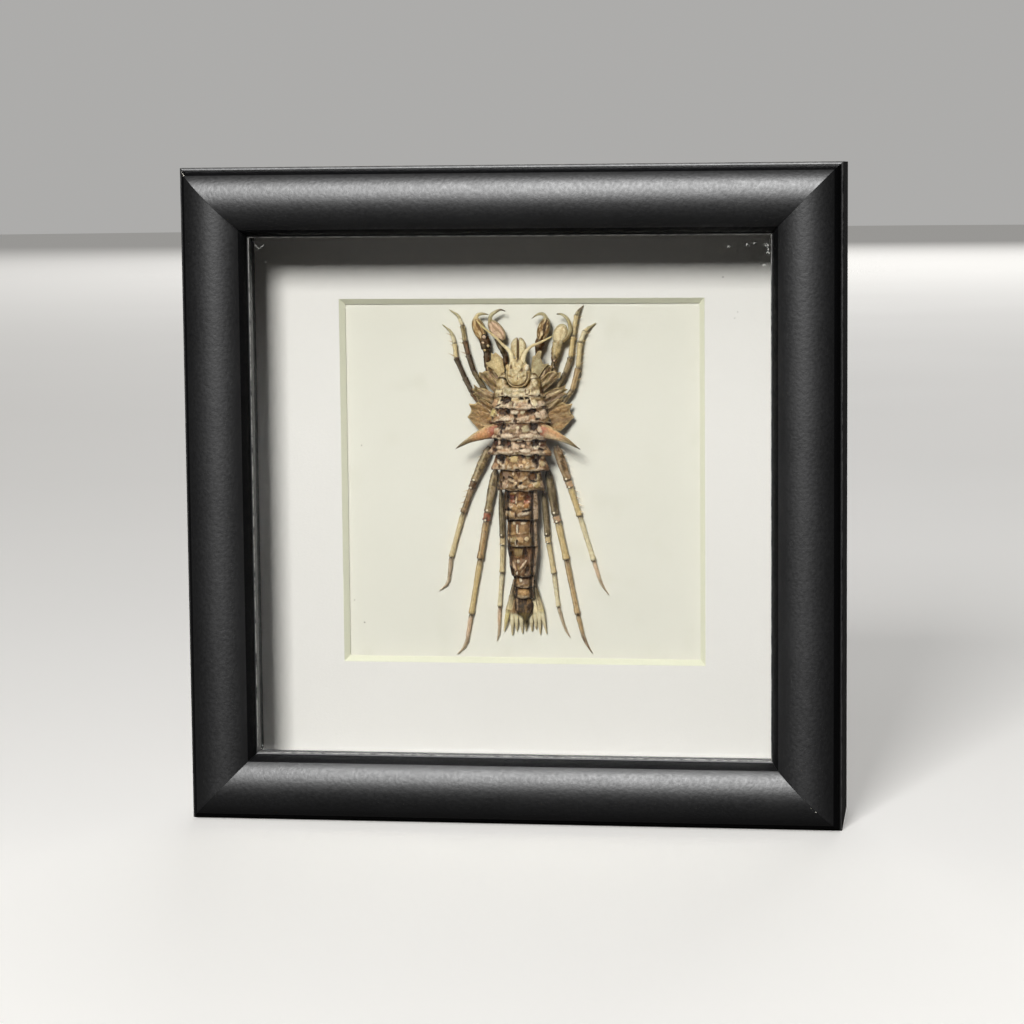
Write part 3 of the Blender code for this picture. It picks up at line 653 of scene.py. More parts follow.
def bright_steel_finish():
    finish = Finish("bright_steel")
    drag = finish.spot(900, 4, (0.1, 1, 1))
    tarnish = finish.spot(160, 4)
    shade = finish.mix(tarnish, paint(206, 206, 204), paint(160, 158, 152))
    relief = finish.bump(drag, 0.00003)
    return finish.coat(Base_Color=shade, Metallic=1.0, Roughness=0.25 + drag * 0.25, Normal=relief)


board_mesh = sheet_mesh("hardboard_back", BOARD_FRONT, BOARD_THICKNESS, BOARD_EDGE)
fit_piece("hardboard_back", board_mesh, hardboard_finish(), "board_brown", "back_board")
bright_steel = bright_steel_finish()
fittings = [f"board_point_{number + 1}" for number in range(BOARD_POINTS)]
fittings += ["sawtooth_hanger", "hanger_nail_left", "hanger_nail_right"]
for name in fittings:
    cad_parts[name].data.materials.clear()
    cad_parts[name].data.materials.append(bright_steel)

# Body armour
# The dried animal lies on the card with its back to the viewer. Its armour is hard shell in overlapping
# rings: each ring's rear edge lies over the front of the next, with pits, knobs and ridges between.
CARD_GAP = 0.3
AXIS_OFFSET = 0.35
AXIS_LEAN = -0.012
BELLY_TAPER = 0.3
TAIL_STEM_END = -26.8
RING_STEP = 0.19
LEAST_STEPS = 7

SHADES = {
    "glint": paint(255, 242, 216),
    "bone": paint(248, 230, 186),
    "pearl": paint(238, 210, 180),
    "cream": paint(224, 198, 146),
    "glow": paint(238, 196, 148),
    "amber": paint(222, 162, 106),
    "blush": paint(206, 164, 124),
    "rose": paint(176, 92, 62),
    "brick": paint(150, 54, 38),
    "sand": paint(196, 160, 108),
    "fawn": paint(190, 150, 96),
    "straw": paint(226, 206, 138),
    "wheat": paint(222, 194, 134),
    "reed": paint(234, 212, 160),
    "ivory": paint(248, 234, 194),
    "shin": paint(232, 196, 166),
    "ash": paint(196, 172, 146),
    "ochre": paint(154, 106, 40),
    "dun": paint(142, 108, 62),
    "khaki": paint(148, 124, 78),
    "moss": paint(166, 146, 92),
    "lichen": paint(190, 178, 138),
    "olive": paint(100, 84, 46),
    "plum": paint(140, 114, 90),
    "mauve": paint(184, 154, 124),
    "slate": paint(126, 112, 94),
    "rust": paint(186, 124, 56),
    "umber": paint(100, 64, 26),
    "wine": paint(84, 28, 14),
    "bark": paint(58, 38, 16),
    "soot": paint(18, 11, 5),
}

# Each ring of armour: front end s, half widths in front and behind, heights of the back and of the widest
# line, flare of its rear corners, then the shade of its front, of its raised rear ridge and of its flanks
ARMOUR = (
    (27.2, 4.6, 5.0, 8.2, 5.2, 0.0, "lichen", "bone", "khaki"),
    (26.2, 5.6, 6.4, 9.0, 5.6, 0.3, "cream", "bone", "khaki"),
    (23.4, 6.3, 6.9, 9.7, 5.9, 0.4, "cream", "pearl", "khaki"),
    (20.5, 7.0, 7.7, 10.2, 6.0, 0.4, "umber", "blush", "khaki"),
    (17.1, 7.0, 7.4, 10.6, 6.2, 0.0, "umber", "mauve", "umber"),
    (12.9, 6.8, 7.5, 10.5, 6.1, 0.7, "bark", "mauve", "umber"),
    (9.2, 6.4, 7.0, 10.2, 6.0, 0.4, "umber", "fawn", "umber"),
    (5.4, 5.4, 5.7, 9.8, 5.8, 0.3, "dun", "dun", "bark"),
    (0.4, 4.3, 4.2, 9.3, 5.4, 0.0, "umber", "dun", "bark"),
    (-7.0, 3.8, 3.8, 8.6, 5.0, 0.0, "umber", "dun", "bark"),
    (-13.6, 4.1, 2.9, 7.6, 4.6, 0.0, "umber", "umber", "bark"),
    (-21.1, 2.75, 2.5, 6.4, 4.0, 0.0, "umber", "dun", "bark"),
    (-24.1, 2.4, 2.5, 5.9, 3.7, 0.0, "umber", "dun", "bark"),
)
# Along a ring of armour: place, share of the width, drop of the back
RING_PROFILE = (
    (0.0, 0.93, 1.1),
    (0.14, 0.95, 0.95),
    (0.4, 0.96, 0.6),
    (0.6, 0.98, 0.25),
    (0.78, 0.99, 0.0),
    (0.92, 0.99, 0.05),
    (0.985, 0.98, 0.3),
    (1.0, 0.97, 0.55),
)
# The rear edge's underside, tucked in over the next ring
RING_TUCK = ((0.985, 0.95, 0.95), (0.95, 0.93, 1.3))
# Knobs, pits and ridges of the back: x, s, width, length, turn from upright in degrees, rise and shade. The
# marks in the glint shade are painted highlights, and the dark shades of the pits are partly their own colour
# and partly painted shade
RELIEF = (
    (-2.3, 24.9, 1.9, 1.7, 0, -0.3, "lichen"),
    (1.0, 25.2, 2.1, 1.4, 0, -0.25, "lichen"),
    (-0.1, 25.5, 0.7, 1.4, 0, 0.2, "bone"),
    (-4.5, 26.6, 2.1, 1.9, 20, 0.3, "cream"),
    (-3.7, 27.9, 1.4, 1.7, 0, 0.2, "cream"),
    (3.0, 26.3, 1.4, 1.7, 0, 0.4, "cream"),
    (4.2, 26.9, 1.2, 1.7, 0, 0.35, "bone"),
    (4.0, 28.1, 1.7, 1.0, 15, 0.3, "bone"),
    (2.0, 24.9, 0.3, 1.0, 0, -0.3, "umber"),
    (2.5, 24.1, 0.8, 0.3, 0, -0.3, "umber"),
    (3.0, 24.6, 0.3, 0.7, 0, -0.25, "umber"),
    (4.7, 24.4, 1.4, 1.4, 0, 0.3, "bone"),
    (-4.9, 24.7, 1.4, 1.0, 0, 0.2, "bone"),
    (-5.9, 25.4, 0.4, 0.5, 0, -0.2, "bark"),
    (-3.8, 24.2, 0.7, 0.5, 0, -0.2, "umber"),
    (3.4, 23.7, 1.7, 0.4, 8, -0.3, "umber"),
    (5.9, 24.9, 0.7, 2.1, -15, -0.3, "bark"),
    (-6.0, 23.7, 0.5, 1.4, 10, -0.3, "bark"),
    (-5.9, 22.0, 2.1, 1.9, 0, 0.5, "blush"),
    (-4.4, 22.3, 0.7, 1.7, 10, 0.3, "bone"),
    (-3.7, 21.4, 1.4, 0.5, -20, 0.3, "bone"),
    (-2.7, 22.7, 2.6, 1.5, 0, -1.3, "soot"),
    (-3.3, 21.9, 0.6, 0.6, 0, 0.5, "plum"),
    (-6.3, 20.9, 0.4, 0.3, 0, -0.2, "bark"),
    (-4.5, 21.4, 1.0, 0.3, -30, -0.4, "soot"),
    (-1.5, 21.8, 1.2, 1.2, 0, 0.2, "khaki"),
    (-1.0, 21.8, 0.4, 0.8, 0, -0.3, "umber"),
    (0.2, 20.9, 3.1, 0.6, 0, 0.3, "rust"),
    (-0.5, 21.6, 0.5, 1.0, 0, 0.5, "glint"),
    (1.3, 21.8, 1.9, 1.0, 0, 0.35, "blush"),
    (1.0, 23.0, 1.3, 0.5, 0, -0.9, "soot"),
    (2.4, 23.1, 1.1, 0.4, 0, -0.7, "soot"),
    (3.0, 22.3, 0.5, 1.0, 0, -1.0, "soot"),
    (5.6, 21.7, 1.9, 1.7, 0, 0.4, "pearl"),
    (4.2, 22.0, 1.4, 2.0, -30, 0.55, "bone"),
    (3.5, 21.7, 0.3, 1.4, -32, -0.2, "plum"),
    (5.4, 23.7, 0.7, 0.4, -20, -0.5, "soot"),
    (6.6, 20.8, 1.0, 0.6, 20, -0.5, "bark"),
    (-6.5, 19.5, 2.4, 1.9, 0, 0.6, "straw"),
    (-5.7, 19.1, 0.5, 0.7, 0, -0.1, "khaki"),
    (-4.8, 19.0, 0.5, 0.6, 0, 0.3, "glint"),
    (-7.1, 18.2, 1.7, 1.2, 0, 0.2, "fawn"),
    (-4.9, 20.3, 0.6, 0.8, 0, -0.5, "soot"),
    (-3.4, 19.6, 1.9, 1.3, 0, -0.7, "bark"),
    (-2.2, 19.8, 1.1, 1.3, 0, -1.2, "soot"),
    (-0.5, 19.7, 2.1, 1.2, 0, 0.45, "pearl"),
    (1.4, 19.7, 1.2, 1.0, 0, 0.3, "lichen"),
    (0.0, 19.8, 0.6, 0.4, 0, 0.3, "glint"),
    (-0.2, 18.8, 1.0, 1.0, 0, -0.6, "bark"),
    (-0.3, 19.3, 0.4, 0.4, 0, 0.3, "lichen"),
    (-0.3, 17.6, 0.9, 0.9, 0, -0.6, "soot"),
    (3.7, 20.0, 2.1, 1.0, 0, -1.0, "soot"),
    (2.7, 19.7, 0.9, 1.2, 0, -0.5, "umber"),
    (4.0, 19.3, 0.7, 0.7, 0, 0.5, "plum"),
    (-2.8, 18.2, 3.1, 1.2, 0, 0.5, "pearl"),
    (1.8, 18.3, 2.9, 1.3, 0, 0.5, "blush"),
    (-2.9, 17.3, 3.3, 0.4, 0, -0.1, "lichen"),
    (-4.1, 17.4, 1.9, 0.5, 0, -0.4, "wine"),
    (6.3, 19.1, 3.3, 2.1, -22, 0.6, "pearl"),
    (5.0, 19.1, 1.2, 1.7, -25, 0.4, "pearl"),
    (5.1, 18.1, 1.0, 0.5, 0, -0.7, "soot"),
    (3.8, 17.8, 1.2, 0.5, 0, 0.2, "pearl"),
    (-6.2, 18.1, 0.4, 0.8, 0, -0.3, "bark"),
    (8.0, 17.6, 0.8, 0.7, 0, -0.5, "bark"),
    (-6.9, 16.7, 1.9, 1.7, 0, 0.0, "wine"),
    (-5.3, 16.2, 0.8, 0.8, 0, -0.6, "bark"),
    (-4.5, 16.6, 1.4, 0.5, 0, -0.4, "wine"),
    (-3.5, 16.1, 1.3, 1.5, 0, -1.2, "soot"),
    (-3.9, 14.9, 0.7, 1.0, 0, -0.7, "wine"),
    (-0.9, 15.8, 3.6, 2.0, 0, 0.5, "mauve"),
    (2.3, 15.7, 1.9, 1.9, 0, 0.5, "lichen"),
    (0.2, 16.1, 0.8, 0.6, 0, 0.3, "bone"),
    (-1.1, 15.3, 1.7, 0.6, 0, -0.1, "khaki"),
    (0.3, 15.1, 0.7, 1.2, 0, 0.2, "pearl"),
    (-2.0, 16.4, 0.6, 0.4, 0, -0.5, "soot"),
    (4.1, 16.1, 1.8, 1.6, 0, -1.2, "soot"),
    (7.2, 16.2, 1.9, 1.4, 0, 0.2, "rose"),
    (5.7, 15.5, 1.3, 2.0, -35, 0.55, "pearl"),
    (5.0, 15.0, 0.3, 1.6, -30, -0.4, "bark"),
    (5.9, 14.3, 0.8, 0.6, 0, -0.8, "soot"),
    (7.5, 16.2, 1.0, 0.8, -20, 0.3, "glow"),
    (-5.2, 15.2, 1.6, 1.5, 0, 0.5, "blush"),
    (-6.2, 14.6, 0.8, 0.6, 0, -0.6, "bark"),
    (-6.2, 15.3, 0.5, 0.7, 0, -0.4, "bark"),
    (-5.9, 13.7, 1.9, 0.9, 0, 0.4, "blush"),
    (-4.5, 13.8, 0.9, 0.7, 0, -0.4, "umber"),
    (-2.4, 14.0, 3.2, 1.2, 0, 0.55, "pearl"),
    (2.6, 14.1, 4.0, 1.2, 0, 0.5, "pearl"),
    (-0.0, 13.7, 1.2, 0.3, 0, -0.3, "umber"),
    (5.8, 13.5, 1.4, 0.7, 0, 0.1, "plum"),
    (-5.5, 12.1, 1.1, 2.0, 0, -1.0, "wine"),
    (-5.7, 10.5, 1.0, 1.1, 0, -0.7, "wine"),
    (-3.4, 12.2, 1.4, 1.8, 0, -1.2, "soot"),
    (-2.0, 12.0, 1.0, 1.6, 0, -0.8, "wine"),
    (-4.6, 12.3, 0.9, 1.2, 0, 0.2, "blush"),
    (-4.3, 11.1, 1.8, 0.7, 0, 0.5, "pearl"),
    (-1.0, 12.3, 1.0, 1.2, 0, 0.4, "blush"),
    (-0.3, 11.4, 1.9, 1.4, 0, 0.4, "pearl"),
    (0.5, 12.8, 1.0, 0.6, 0, 0.3, "glint"),
    (1.7, 12.6, 0.5, 0.8, 0, -0.6, "soot"),
    (1.6, 11.5, 1.1, 0.9, 0, 0.3, "blush"),
    (1.2, 10.9, 1.1, 0.3, 0, -0.3, "umber"),
    (2.2, 11.8, 0.6, 0.3, -40, -0.3, "umber"),
    (2.8, 12.4, 1.2, 1.2, 0, 0.4, "blush"),
    (4.6, 12.2, 1.7, 1.8, 0, -1.3, "soot"),
    (6.3, 12.6, 1.9, 0.7, 0, -0.5, "wine"),
    (6.1, 11.5, 1.2, 0.7, 0, -0.3, "wine"),
    (5.4, 11.9, 0.6, 0.5, 0, 0.5, "pearl"),
    (-2.9, 10.1, 3.3, 1.3, 0, 0.5, "blush"),
    (0.1, 9.8, 0.8, 0.6, 0, -0.3, "khaki"),
    (2.1, 10.4, 2.6, 1.1, 0, 0.5, "pearl"),
    (4.5, 9.9, 2.1, 0.9, 0, 0.4, "blush"),
    (4.8, 11.1, 1.5, 0.8, 15, 0.5, "glint"),
    (5.7, 10.6, 1.5, 0.6, 30, -0.7, "wine"),
    (-7.1, 10.6, 1.4, 1.9, -30, 0.4, "blush"),
    (-7.7, 9.5, 1.4, 0.3, 0, -0.3, "umber"),
    (7.8, 11.3, 1.2, 2.1, 10, 0.4, "blush"),
    (7.2, 9.9, 1.9, 0.8, 0, 0.1, "fawn"),
    (-4.2, 8.4, 2.2, 1.9, 0, -1.4, "soot"),
    (-3.7, 7.5, 0.9, 1.0, 0, -1.2, "soot"),
    (-4.2, 9.0, 0.7, 0.4, 0, 0.6, "plum"),
    (-4.9, 7.5, 0.7, 1.1, -40, 0.5, "glint"),
    (-3.1, 8.2, 0.4, 1.5, 0, 0.3, "plum"),
    (-2.1, 8.7, 1.0, 1.0, 0, 0.1, "khaki"),
    (-1.8, 9.0, 0.4, 0.5, 0, -0.5, "bark"),
    (-0.7, 8.3, 2.1, 1.8, 0, 0.45, "wheat"),
    (2.1, 7.7, 1.9, 1.1, 0, 0.35, "sand"),
    (1.4, 8.9, 0.8, 0.8, 0, -0.6, "soot"),
    (2.6, 8.8, 1.0, 0.9, 0, 0.2, "lichen"),
    (4.5, 8.3, 1.8, 2.2, 0, -1.3, "wine"),
    (4.2, 7.7, 1.1, 1.0, 0, -0.6, "soot"),
    (4.4, 8.7, 0.6, 1.0, 0, 0.8, "pearl"),
    (6.1, 8.7, 0.9, 1.0, 0, 0.3, "fawn"),
    (4.8, 6.6, 0.7, 1.3, 0, -0.9, "soot"),
    (4.0, 6.7, 1.0, 0.8, 0, 0.3, "blush"),
    (6.1, 7.0, 1.1, 1.7, -40, 0.45, "cream"),
    (7.0, 7.4, 0.8, 2.4, 0, 0.1, "blush"),
    (-5.6, 6.3, 2.2, 1.7, 0, 0.4, "blush"),
    (-4.5, 6.4, 0.6, 0.8, 0, -0.4, "bark"),
    (-3.4, 6.3, 1.0, 1.3, 0, 0.35, "mauve"),
    (-2.0, 6.4, 1.4, 1.5, 0, 0.4, "sand"),
    (-1.6, 6.8, 0.7, 0.6, 0, -0.2, "khaki"),
    (-0.4, 6.4, 1.3, 1.4, 0, 0.4, "fawn"),
    (1.0, 6.6, 1.2, 1.1, 0, 0.5, "glow"),
    (1.1, 6.5, 0.4, 0.4, 0, -0.3, "umber"),
    (0.1, 5.5, 1.0, 0.8, 0, -0.5, "umber"),
    (2.7, 6.6, 1.4, 1.6, 0, 0.4, "sand"),
    (5.7, 5.8, 2.4, 0.7, 0, 0.2, "blush"),
    (-2.8, 4.2, 1.9, 1.7, 0, 0.0, "plum"),
    (-3.6, 3.2, 0.6, 1.4, 0, -0.6, "bark"),
    (-4.1, 4.6, 0.7, 1.0, 0, -0.4, "bark"),
    (-1.7, 3.6, 1.3, 0.5, 20, -0.6, "umber"),
    (-1.1, 4.6, 0.7, 0.8, 0, 0.5, "glow"),
    (0.1, 4.6, 1.0, 1.0, 0, -0.4, "umber"),
    (-1.3, 2.9, 2.1, 0.8, 15, 0.5, "fawn"),
    (-0.6, 1.9, 0.9, 1.7, 20, 0.5, "sand"),
    (1.3, 3.3, 2.4, 1.0, -15, 0.45, "fawn"),
    (1.3, 4.3, 1.4, 0.7, 30, 0.2, "dun"),
    (0.8, 2.2, 1.0, 0.5, -35, -0.6, "bark"),
    (-1.5, 1.5, 1.9, 1.2, 0, 0.4, "dun"),
    (1.2, 1.4, 2.1, 1.0, 0, 0.5, "sand"),
    (-0.2, 1.3, 0.6, 1.0, 0, -0.6, "umber"),
    (3.4, 1.6, 1.4, 0.8, 0, 0.2, "rust"),
    (3.5, 3.9, 1.7, 1.6, 0, -0.7, "umber"),
    (4.9, 3.7, 1.0, 1.8, 0, 0.45, "cream"),
    (4.4, 3.7, 0.5, 1.3, 0, -1.2, "soot"),
    (3.7, 4.8, 1.0, 0.5, 0, -0.6, "soot"),
    (3.9, 2.7, 1.5, 0.5, 10, -0.9, "bark"),
    (4.8, 3.4, 0.4, 0.5, 0, 0.3, "glint"),
    (5.3, 4.6, 0.8, 0.6, 0, 0.3, "fawn"),
    (4.8, 1.9, 1.8, 1.7, 0, 0.4, "wheat"),
    (6.0, 1.9, 0.9, 1.9, 0, 0.1, "mauve"),
    (-3.2, 1.9, 1.4, 1.9, 0, 0.4, "mauve"),
    (-4.3, 1.9, 0.7, 1.3, 0, -0.5, "bark"),
    (-2.7, 2.7, 0.7, 0.7, 0, 0.3, "mauve"),
    (-1.7, -1.1, 2.2, 1.9, 0, -0.5, "wine"),
    (-2.4, -1.4, 0.6, 0.8, 0, -0.5, "soot"),
    (-0.8, -1.4, 0.5, 0.6, 0, -0.5, "bark"),
    (-1.3, -0.3, 2.0, 0.6, -10, 0.3, "fawn"),
    (-1.3, -2.2, 1.1, 0.7, 0, 0.2, "rose"),
    (0.7, -1.1, 1.4, 2.0, 0, 0.2, "ochre"),
    (1.1, -0.5, 0.8, 0.5, 0, -0.3, "umber"),
    (2.4, -1.4, 1.2, 1.7, 0, -0.5, "wine"),
    (2.2, -2.4, 1.5, 1.0, 0, 0.2, "rose"),
    (-0.4, -1.9, 0.5, 1.9, 0, 0.5, "glow"),
    (-0.4, -2.5, 0.4, 0.6, 0, 0.2, "glint"),
    (-2.0, -3.4, 1.8, 1.3, 0, 0.5, "blush"),
    (-0.9, -3.7, 1.9, 1.3, 0, 0.4, "fawn"),
    (0.6, -3.2, 1.5, 1.5, 0, 0.4, "fawn"),
    (2.1, -3.3, 1.5, 1.1, 0, 0.35, "rust"),
    (-2.7, -4.5, 1.7, 0.5, 0, -0.9, "soot"),
    (2.3, -4.6, 2.6, 0.5, -8, -0.9, "soot"),
    (-2.0, -5.5, 2.6, 1.5, 10, 0.5, "sand"),
    (-2.7, -5.2, 0.8, 0.5, 15, 0.2, "cream"),
    (1.3, -5.3, 3.1, 1.3, -12, 0.5, "mauve"),
    (-0.5, -5.7, 0.4, 1.4, 0, -0.4, "umber"),
    (0.4, -6.4, 4.3, 0.6, 0, 0.0, "dun"),
    (0.2, -7.1, 3.6, 0.6, 0, -0.5, "bark"),
    (-1.7, -7.1, 0.9, 0.8, 0, -0.5, "bark"),
    (-1.2, -7.9, 1.0, 0.8, 0, 0.4, "cream"),
    (1.1, -7.8, 1.1, 0.6, 0, 0.3, "sand"),
    (-1.8, -9.1, 2.1, 2.2, 0, 0.3, "dun"),
    (1.3, -9.1, 2.5, 2.4, 0, 0.3, "dun"),
    (-0.3, -9.1, 0.5, 2.0, 0, 0.6, "glint"),
    (0.1, -10.3, 1.3, 0.4, 0, 0.3, "blush"),
    (-1.7, -10.4, 2.2, 0.7, 0, 0.2, "sand"),
    (1.6, -10.2, 1.9, 0.7, 0, 0.2, "dun"),
    (2.9, -8.8, 0.3, 3.6, 0, -0.7, "soot"),
    (-2.3, -11.8, 1.3, 1.1, 15, 0.5, "cream"),
    (-1.1, -11.8, 1.5, 1.6, 0, 0.4, "moss"),
    (0.5, -11.8, 1.5, 1.8, 0, 0.4, "fawn"),
    (2.0, -11.6, 1.1, 1.1, -20, 0.5, "cream"),
    (-0.7, -12.5, 0.3, 1.3, 0, 0.4, "glint"),
    (-0.3, -12.5, 0.5, 1.3, 0, -0.4, "umber"),
    (-0.3, -15.0, 2.6, 2.6, 0, 0.45, "khaki"),
    (1.4, -15.6, 1.2, 2.2, 0, -0.8, "soot"),
    (-2.1, -16.6, 0.9, 3.4, 14, -0.6, "bark"),
    (-0.3, -17.3, 0.8, 1.0, 0, 0.6, "glint"),
    (-1.35, -18.5, 0.8, 2.9, -27, 0.6, "blush"),
    (0.9, -18.3, 0.8, 3.2, 35, 0.6, "blush"),
    (-0.2, -18.9, 0.9, 1.4, 0, 0.2, "khaki"),
    (-0.5, -20.2, 0.5, 1.1, 0, 0.5, "glint"),
    (2.0, -19.4, 1.0, 2.2, 12, -0.7, "soot"),
    (-1.7, -20.3, 0.9, 1.2, 0, -0.5, "bark"),
    (-2.9, -15.2, 0.9, 3.6, -12, -0.4, "soot"),
    (0.1, -22.2, 0.8, 0.9, 0, 0.55, "glint"),
    (-0.9, -22.5, 1.6, 1.4, 0, 0.2, "dun"),
    (1.3, -22.5, 1.6, 1.4, 0, 0.2, "plum"),
    (2.9, -22.6, 0.9, 2.6, 0, 0.1, "mauve"),
    (0.6, -23.6, 1.0, 0.4, 0, -0.3, "bark"),
    (0.6, -25.1, 3.6, 1.4, 0, 0.35, "fawn"),
    (2.9, -25.5, 0.4, 1.6, 0, -0.3, "bark"),
    (0.7, -26.2, 0.5, 0.6, 0, 0.2, "sand"),
)
# The marks that may reach each whole millimetre of s
NEAR_MARKS = {}
MARK_REACH = 2
# Layers of the shell's unevenness: width and height of its folds
CRUMPLE = ((1.5, 0.16), (0.65, 0.08), (0.3, 0.04))
# Share of a ring's length, from its front, darkened by painted shade where it goes under the ring before
SEAM_SHARE = 0.05
# Rings that bear on the head, and how far their shoulders reach forward beside it
HEAD_RINGS = 2
SHOULDER_LIFT = 2.0
# The back dips under the head's rear rim
SADDLE_DEPTH = 2.2
# No mark reaches past this many of its own half widths
RAGGED_END = 1.4
# Rows and columns over which a hollow is told from a crest, and how dark the painted shade in the hollows and
# how pale the painted highlight on the crests become
PAINTED_LIGHT_REACH = 3
PAINTED_SHADE_DARK = 0.9
PAINTED_HIGHLIGHT_PALE = 0.5
# From this ring on the back is a narrow strip between two furrows of painted shade, with a paler band outside
# the right one, its own mauve painted paler against the flank's shade
FIRST_NARROW_RING = 8
STRIP_HALF = 3.0
# Half width of the back where the strip is as wide as that
STRIP_FULL_WIDTH = 3.8
BACK_COLUMNS = 136
BELLY_COLUMNS = 22


def keep_marks(marks):
    """Files marks under each whole millimetre of s that they may reach."""
    for mark in marks:
        nearest = math.floor(mark[1])
        for near_s in range(nearest - MARK_REACH, nearest + MARK_REACH + 1):
            NEAR_MARKS.setdefault(near_s, []).append(mark)


def blend(share, first, second):
    return tuple(one + (two - one) * share for one, two in zip(first, second))


def layered(shade, *coats):
    """A shade with others over it in turn, each a share and the name of a shade."""
    for share, over in coats:
        shade = blend(share, shade, SHADES[over])
    return shade


def patches(size, x, s, layer):
    """Noise from -1 to 1 in patches of a size in millimetres. Each layer is another pattern."""
    return noise.noise(Vector((x, s, layer)) / size)


def ease(value, low, high):
    """0 below low, 1 above high, and a smooth rise between."""
    share = min(max((value - low) / (high - low), 0.0), 1.0)
    return share * share * (3 - 2 * share)


class Shell:
    """A mesh being built from closed skins in card millimetres: x to the right, s up, h off the card."""

    def __init__(self):
        self.points = []
        self.faces = []
        self.tints = []

    def add(self, rings, tints):
        """A skin over rings that have the same number of points, closed at both ends."""
        start = len(self.points)
        count = len(rings[0])
        for ring, row in zip(rings, tints):
            self.points += ring
            self.tints += row
        for near in range(len(rings) - 1):
            first = start + near * count
            for column in range(count):
                here, after = first + column, first + (column + 1) % count
                self.faces.append((here, after, after + count, here + count))
        for end, first in ((0, start), (-1, start + (len(rings) - 1) * count)):
            self.points.append(tuple(sum(part) / count for part in zip(*rings[end])))
            self.tints.append(tints[end][0])
            for column in range(count):
                self.faces.append((first + column, first + (column + 1) % count, len(self.points) - 1))

    def mesh(self, name):
        places = [place_at(x, s, CARD_FRONT + h) for x, s, h in self.points]
        mesh = bpy.data.meshes.new(name)
        mesh.from_pydata(places, [], self.faces)
        tint = mesh.color_attributes.new("tint", "FLOAT_COLOR", "POINT")
        tint.data.foreach_set("color", [part for shade in self.tints for part in (*shade, 1.0)])
        bm = bmesh.new()
        bm.from_mesh(mesh)
        bmesh.ops.recalc_face_normals(bm, faces=bm.faces)
        bm.to_mesh(mesh)
        bm.free()
        mesh.shade_smooth()
        return mesh


def painted_shade_and_highlight(rings, tints):
    """The tints of a skin's top, with painted shade in its hollows and a painted highlight on its crests."""
    heights = np.array([[point[2] for point in ring] for ring in rings])
    level = np.zeros_like(heights)
    rows = np.arange(len(rings))
    for hop_row in range(-PAINTED_LIGHT_REACH, PAINTED_LIGHT_REACH + 1):
        beside = heights[np.clip(rows + hop_row, 0, len(rings) - 1)]
        for hop in range(-PAINTED_LIGHT_REACH, PAINTED_LIGHT_REACH + 1):
            level += np.roll(beside, hop, axis=1)
    above = heights - level / (2 * PAINTED_LIGHT_REACH + 1) ** 2
    deep = []
    for row, lifts in zip(tints, above):
        deep_row = []
        for shade, lift in zip(row, lifts):
            hollow = PAINTED_SHADE_DARK * ease(-lift, 0.12, 0.3)
            low = layered(shade, (0.55 * ease(-lift, 0.03, 0.14), "umber"), (hollow, "soot"))
            crest = PAINTED_HIGHLIGHT_PALE * ease(lift, 0.05, 0.2) * ease(low[0], 0.05, 0.5)
            deep_row.append(layered(low, (crest, "glint")))
        deep.append(deep_row)
    return deep


def crumple(x, s, h):
    """The unevenness of dried shell, in millimetres."""
    return sum(depth * patches(size, x, s, h) for size, depth in CRUMPLE)


def peak(value, place, width):
    """1 at the place, falling off on both sides of it."""
    return math.exp(-(((value - place) / width) ** 2))


def relief_at(x, s):
    """Height and shades that the knobs and pits give a place on the back, each ringed with painted shade."""
    height = 0.0
    marks = []
    ragged = 1.0 + 0.34 * patches(0.7, x, s, 4.0) + 0.22 * patches(0.3, x, s, 8.0)
    for mark_x, mark_s, across, along, turn, rise, shade in NEAR_MARKS.get(math.floor(s), ()):
        cosine, sine = math.cos(math.radians(turn)), math.sin(math.radians(turn))
        off_x, off_s = x - mark_x, s - mark_s
        turned_x, turned_s = off_x * cosine - off_s * sine, off_x * sine + off_s * cosine
        away = 2 * ragged * math.hypot(turned_x / across, turned_s / along)
        if away > RAGGED_END:
            continue
        if rise > 0:
            height += rise * max(0.0, 1 - (away / 1.18) ** 2) ** 0.8
            marks.append((min(0.6, rise) * peak(away, 1.16, 0.18), "umber"))
            marks.append((1 - ease(away, 0.75, 1.12), shade))
        else:
            height += rise * (1 - ease(away, 0.7, 1.35))
            marks.append((0.65 - 0.65 * ease(away, 1.0, 1.4), "umber"))
            marks.append((1 - ease(away, 0.75, 1.2), shade))
    return height, marks


def armour_rows():
    """Each row of the armour: s, ring number, place along, half width, back, waist."""
    rows = []
    places, shares, drops = zip(*RING_PROFILE)
    ends = [ring[0] for ring in ARMOUR[1:]] + [TAIL_STEM_END]
    for number, ((front, fore, aft, back, waist, *_), rear) in enumerate(zip(ARMOUR, ends)):
        steps = max(LEAST_STEPS, round((front - rear) / RING_STEP))
        spots = []
        for along in (step / steps for step in range(steps + 1)):
            spots.append((along, np.interp(along, places, shares), np.interp(along, places, drops)))
        for along, share, drop in (*spots, *RING_TUCK):
            s = front + (rear - front) * along
            rows.append((s, number, along, share * (fore + (aft - fore) * along), back - drop, waist))
    return rows


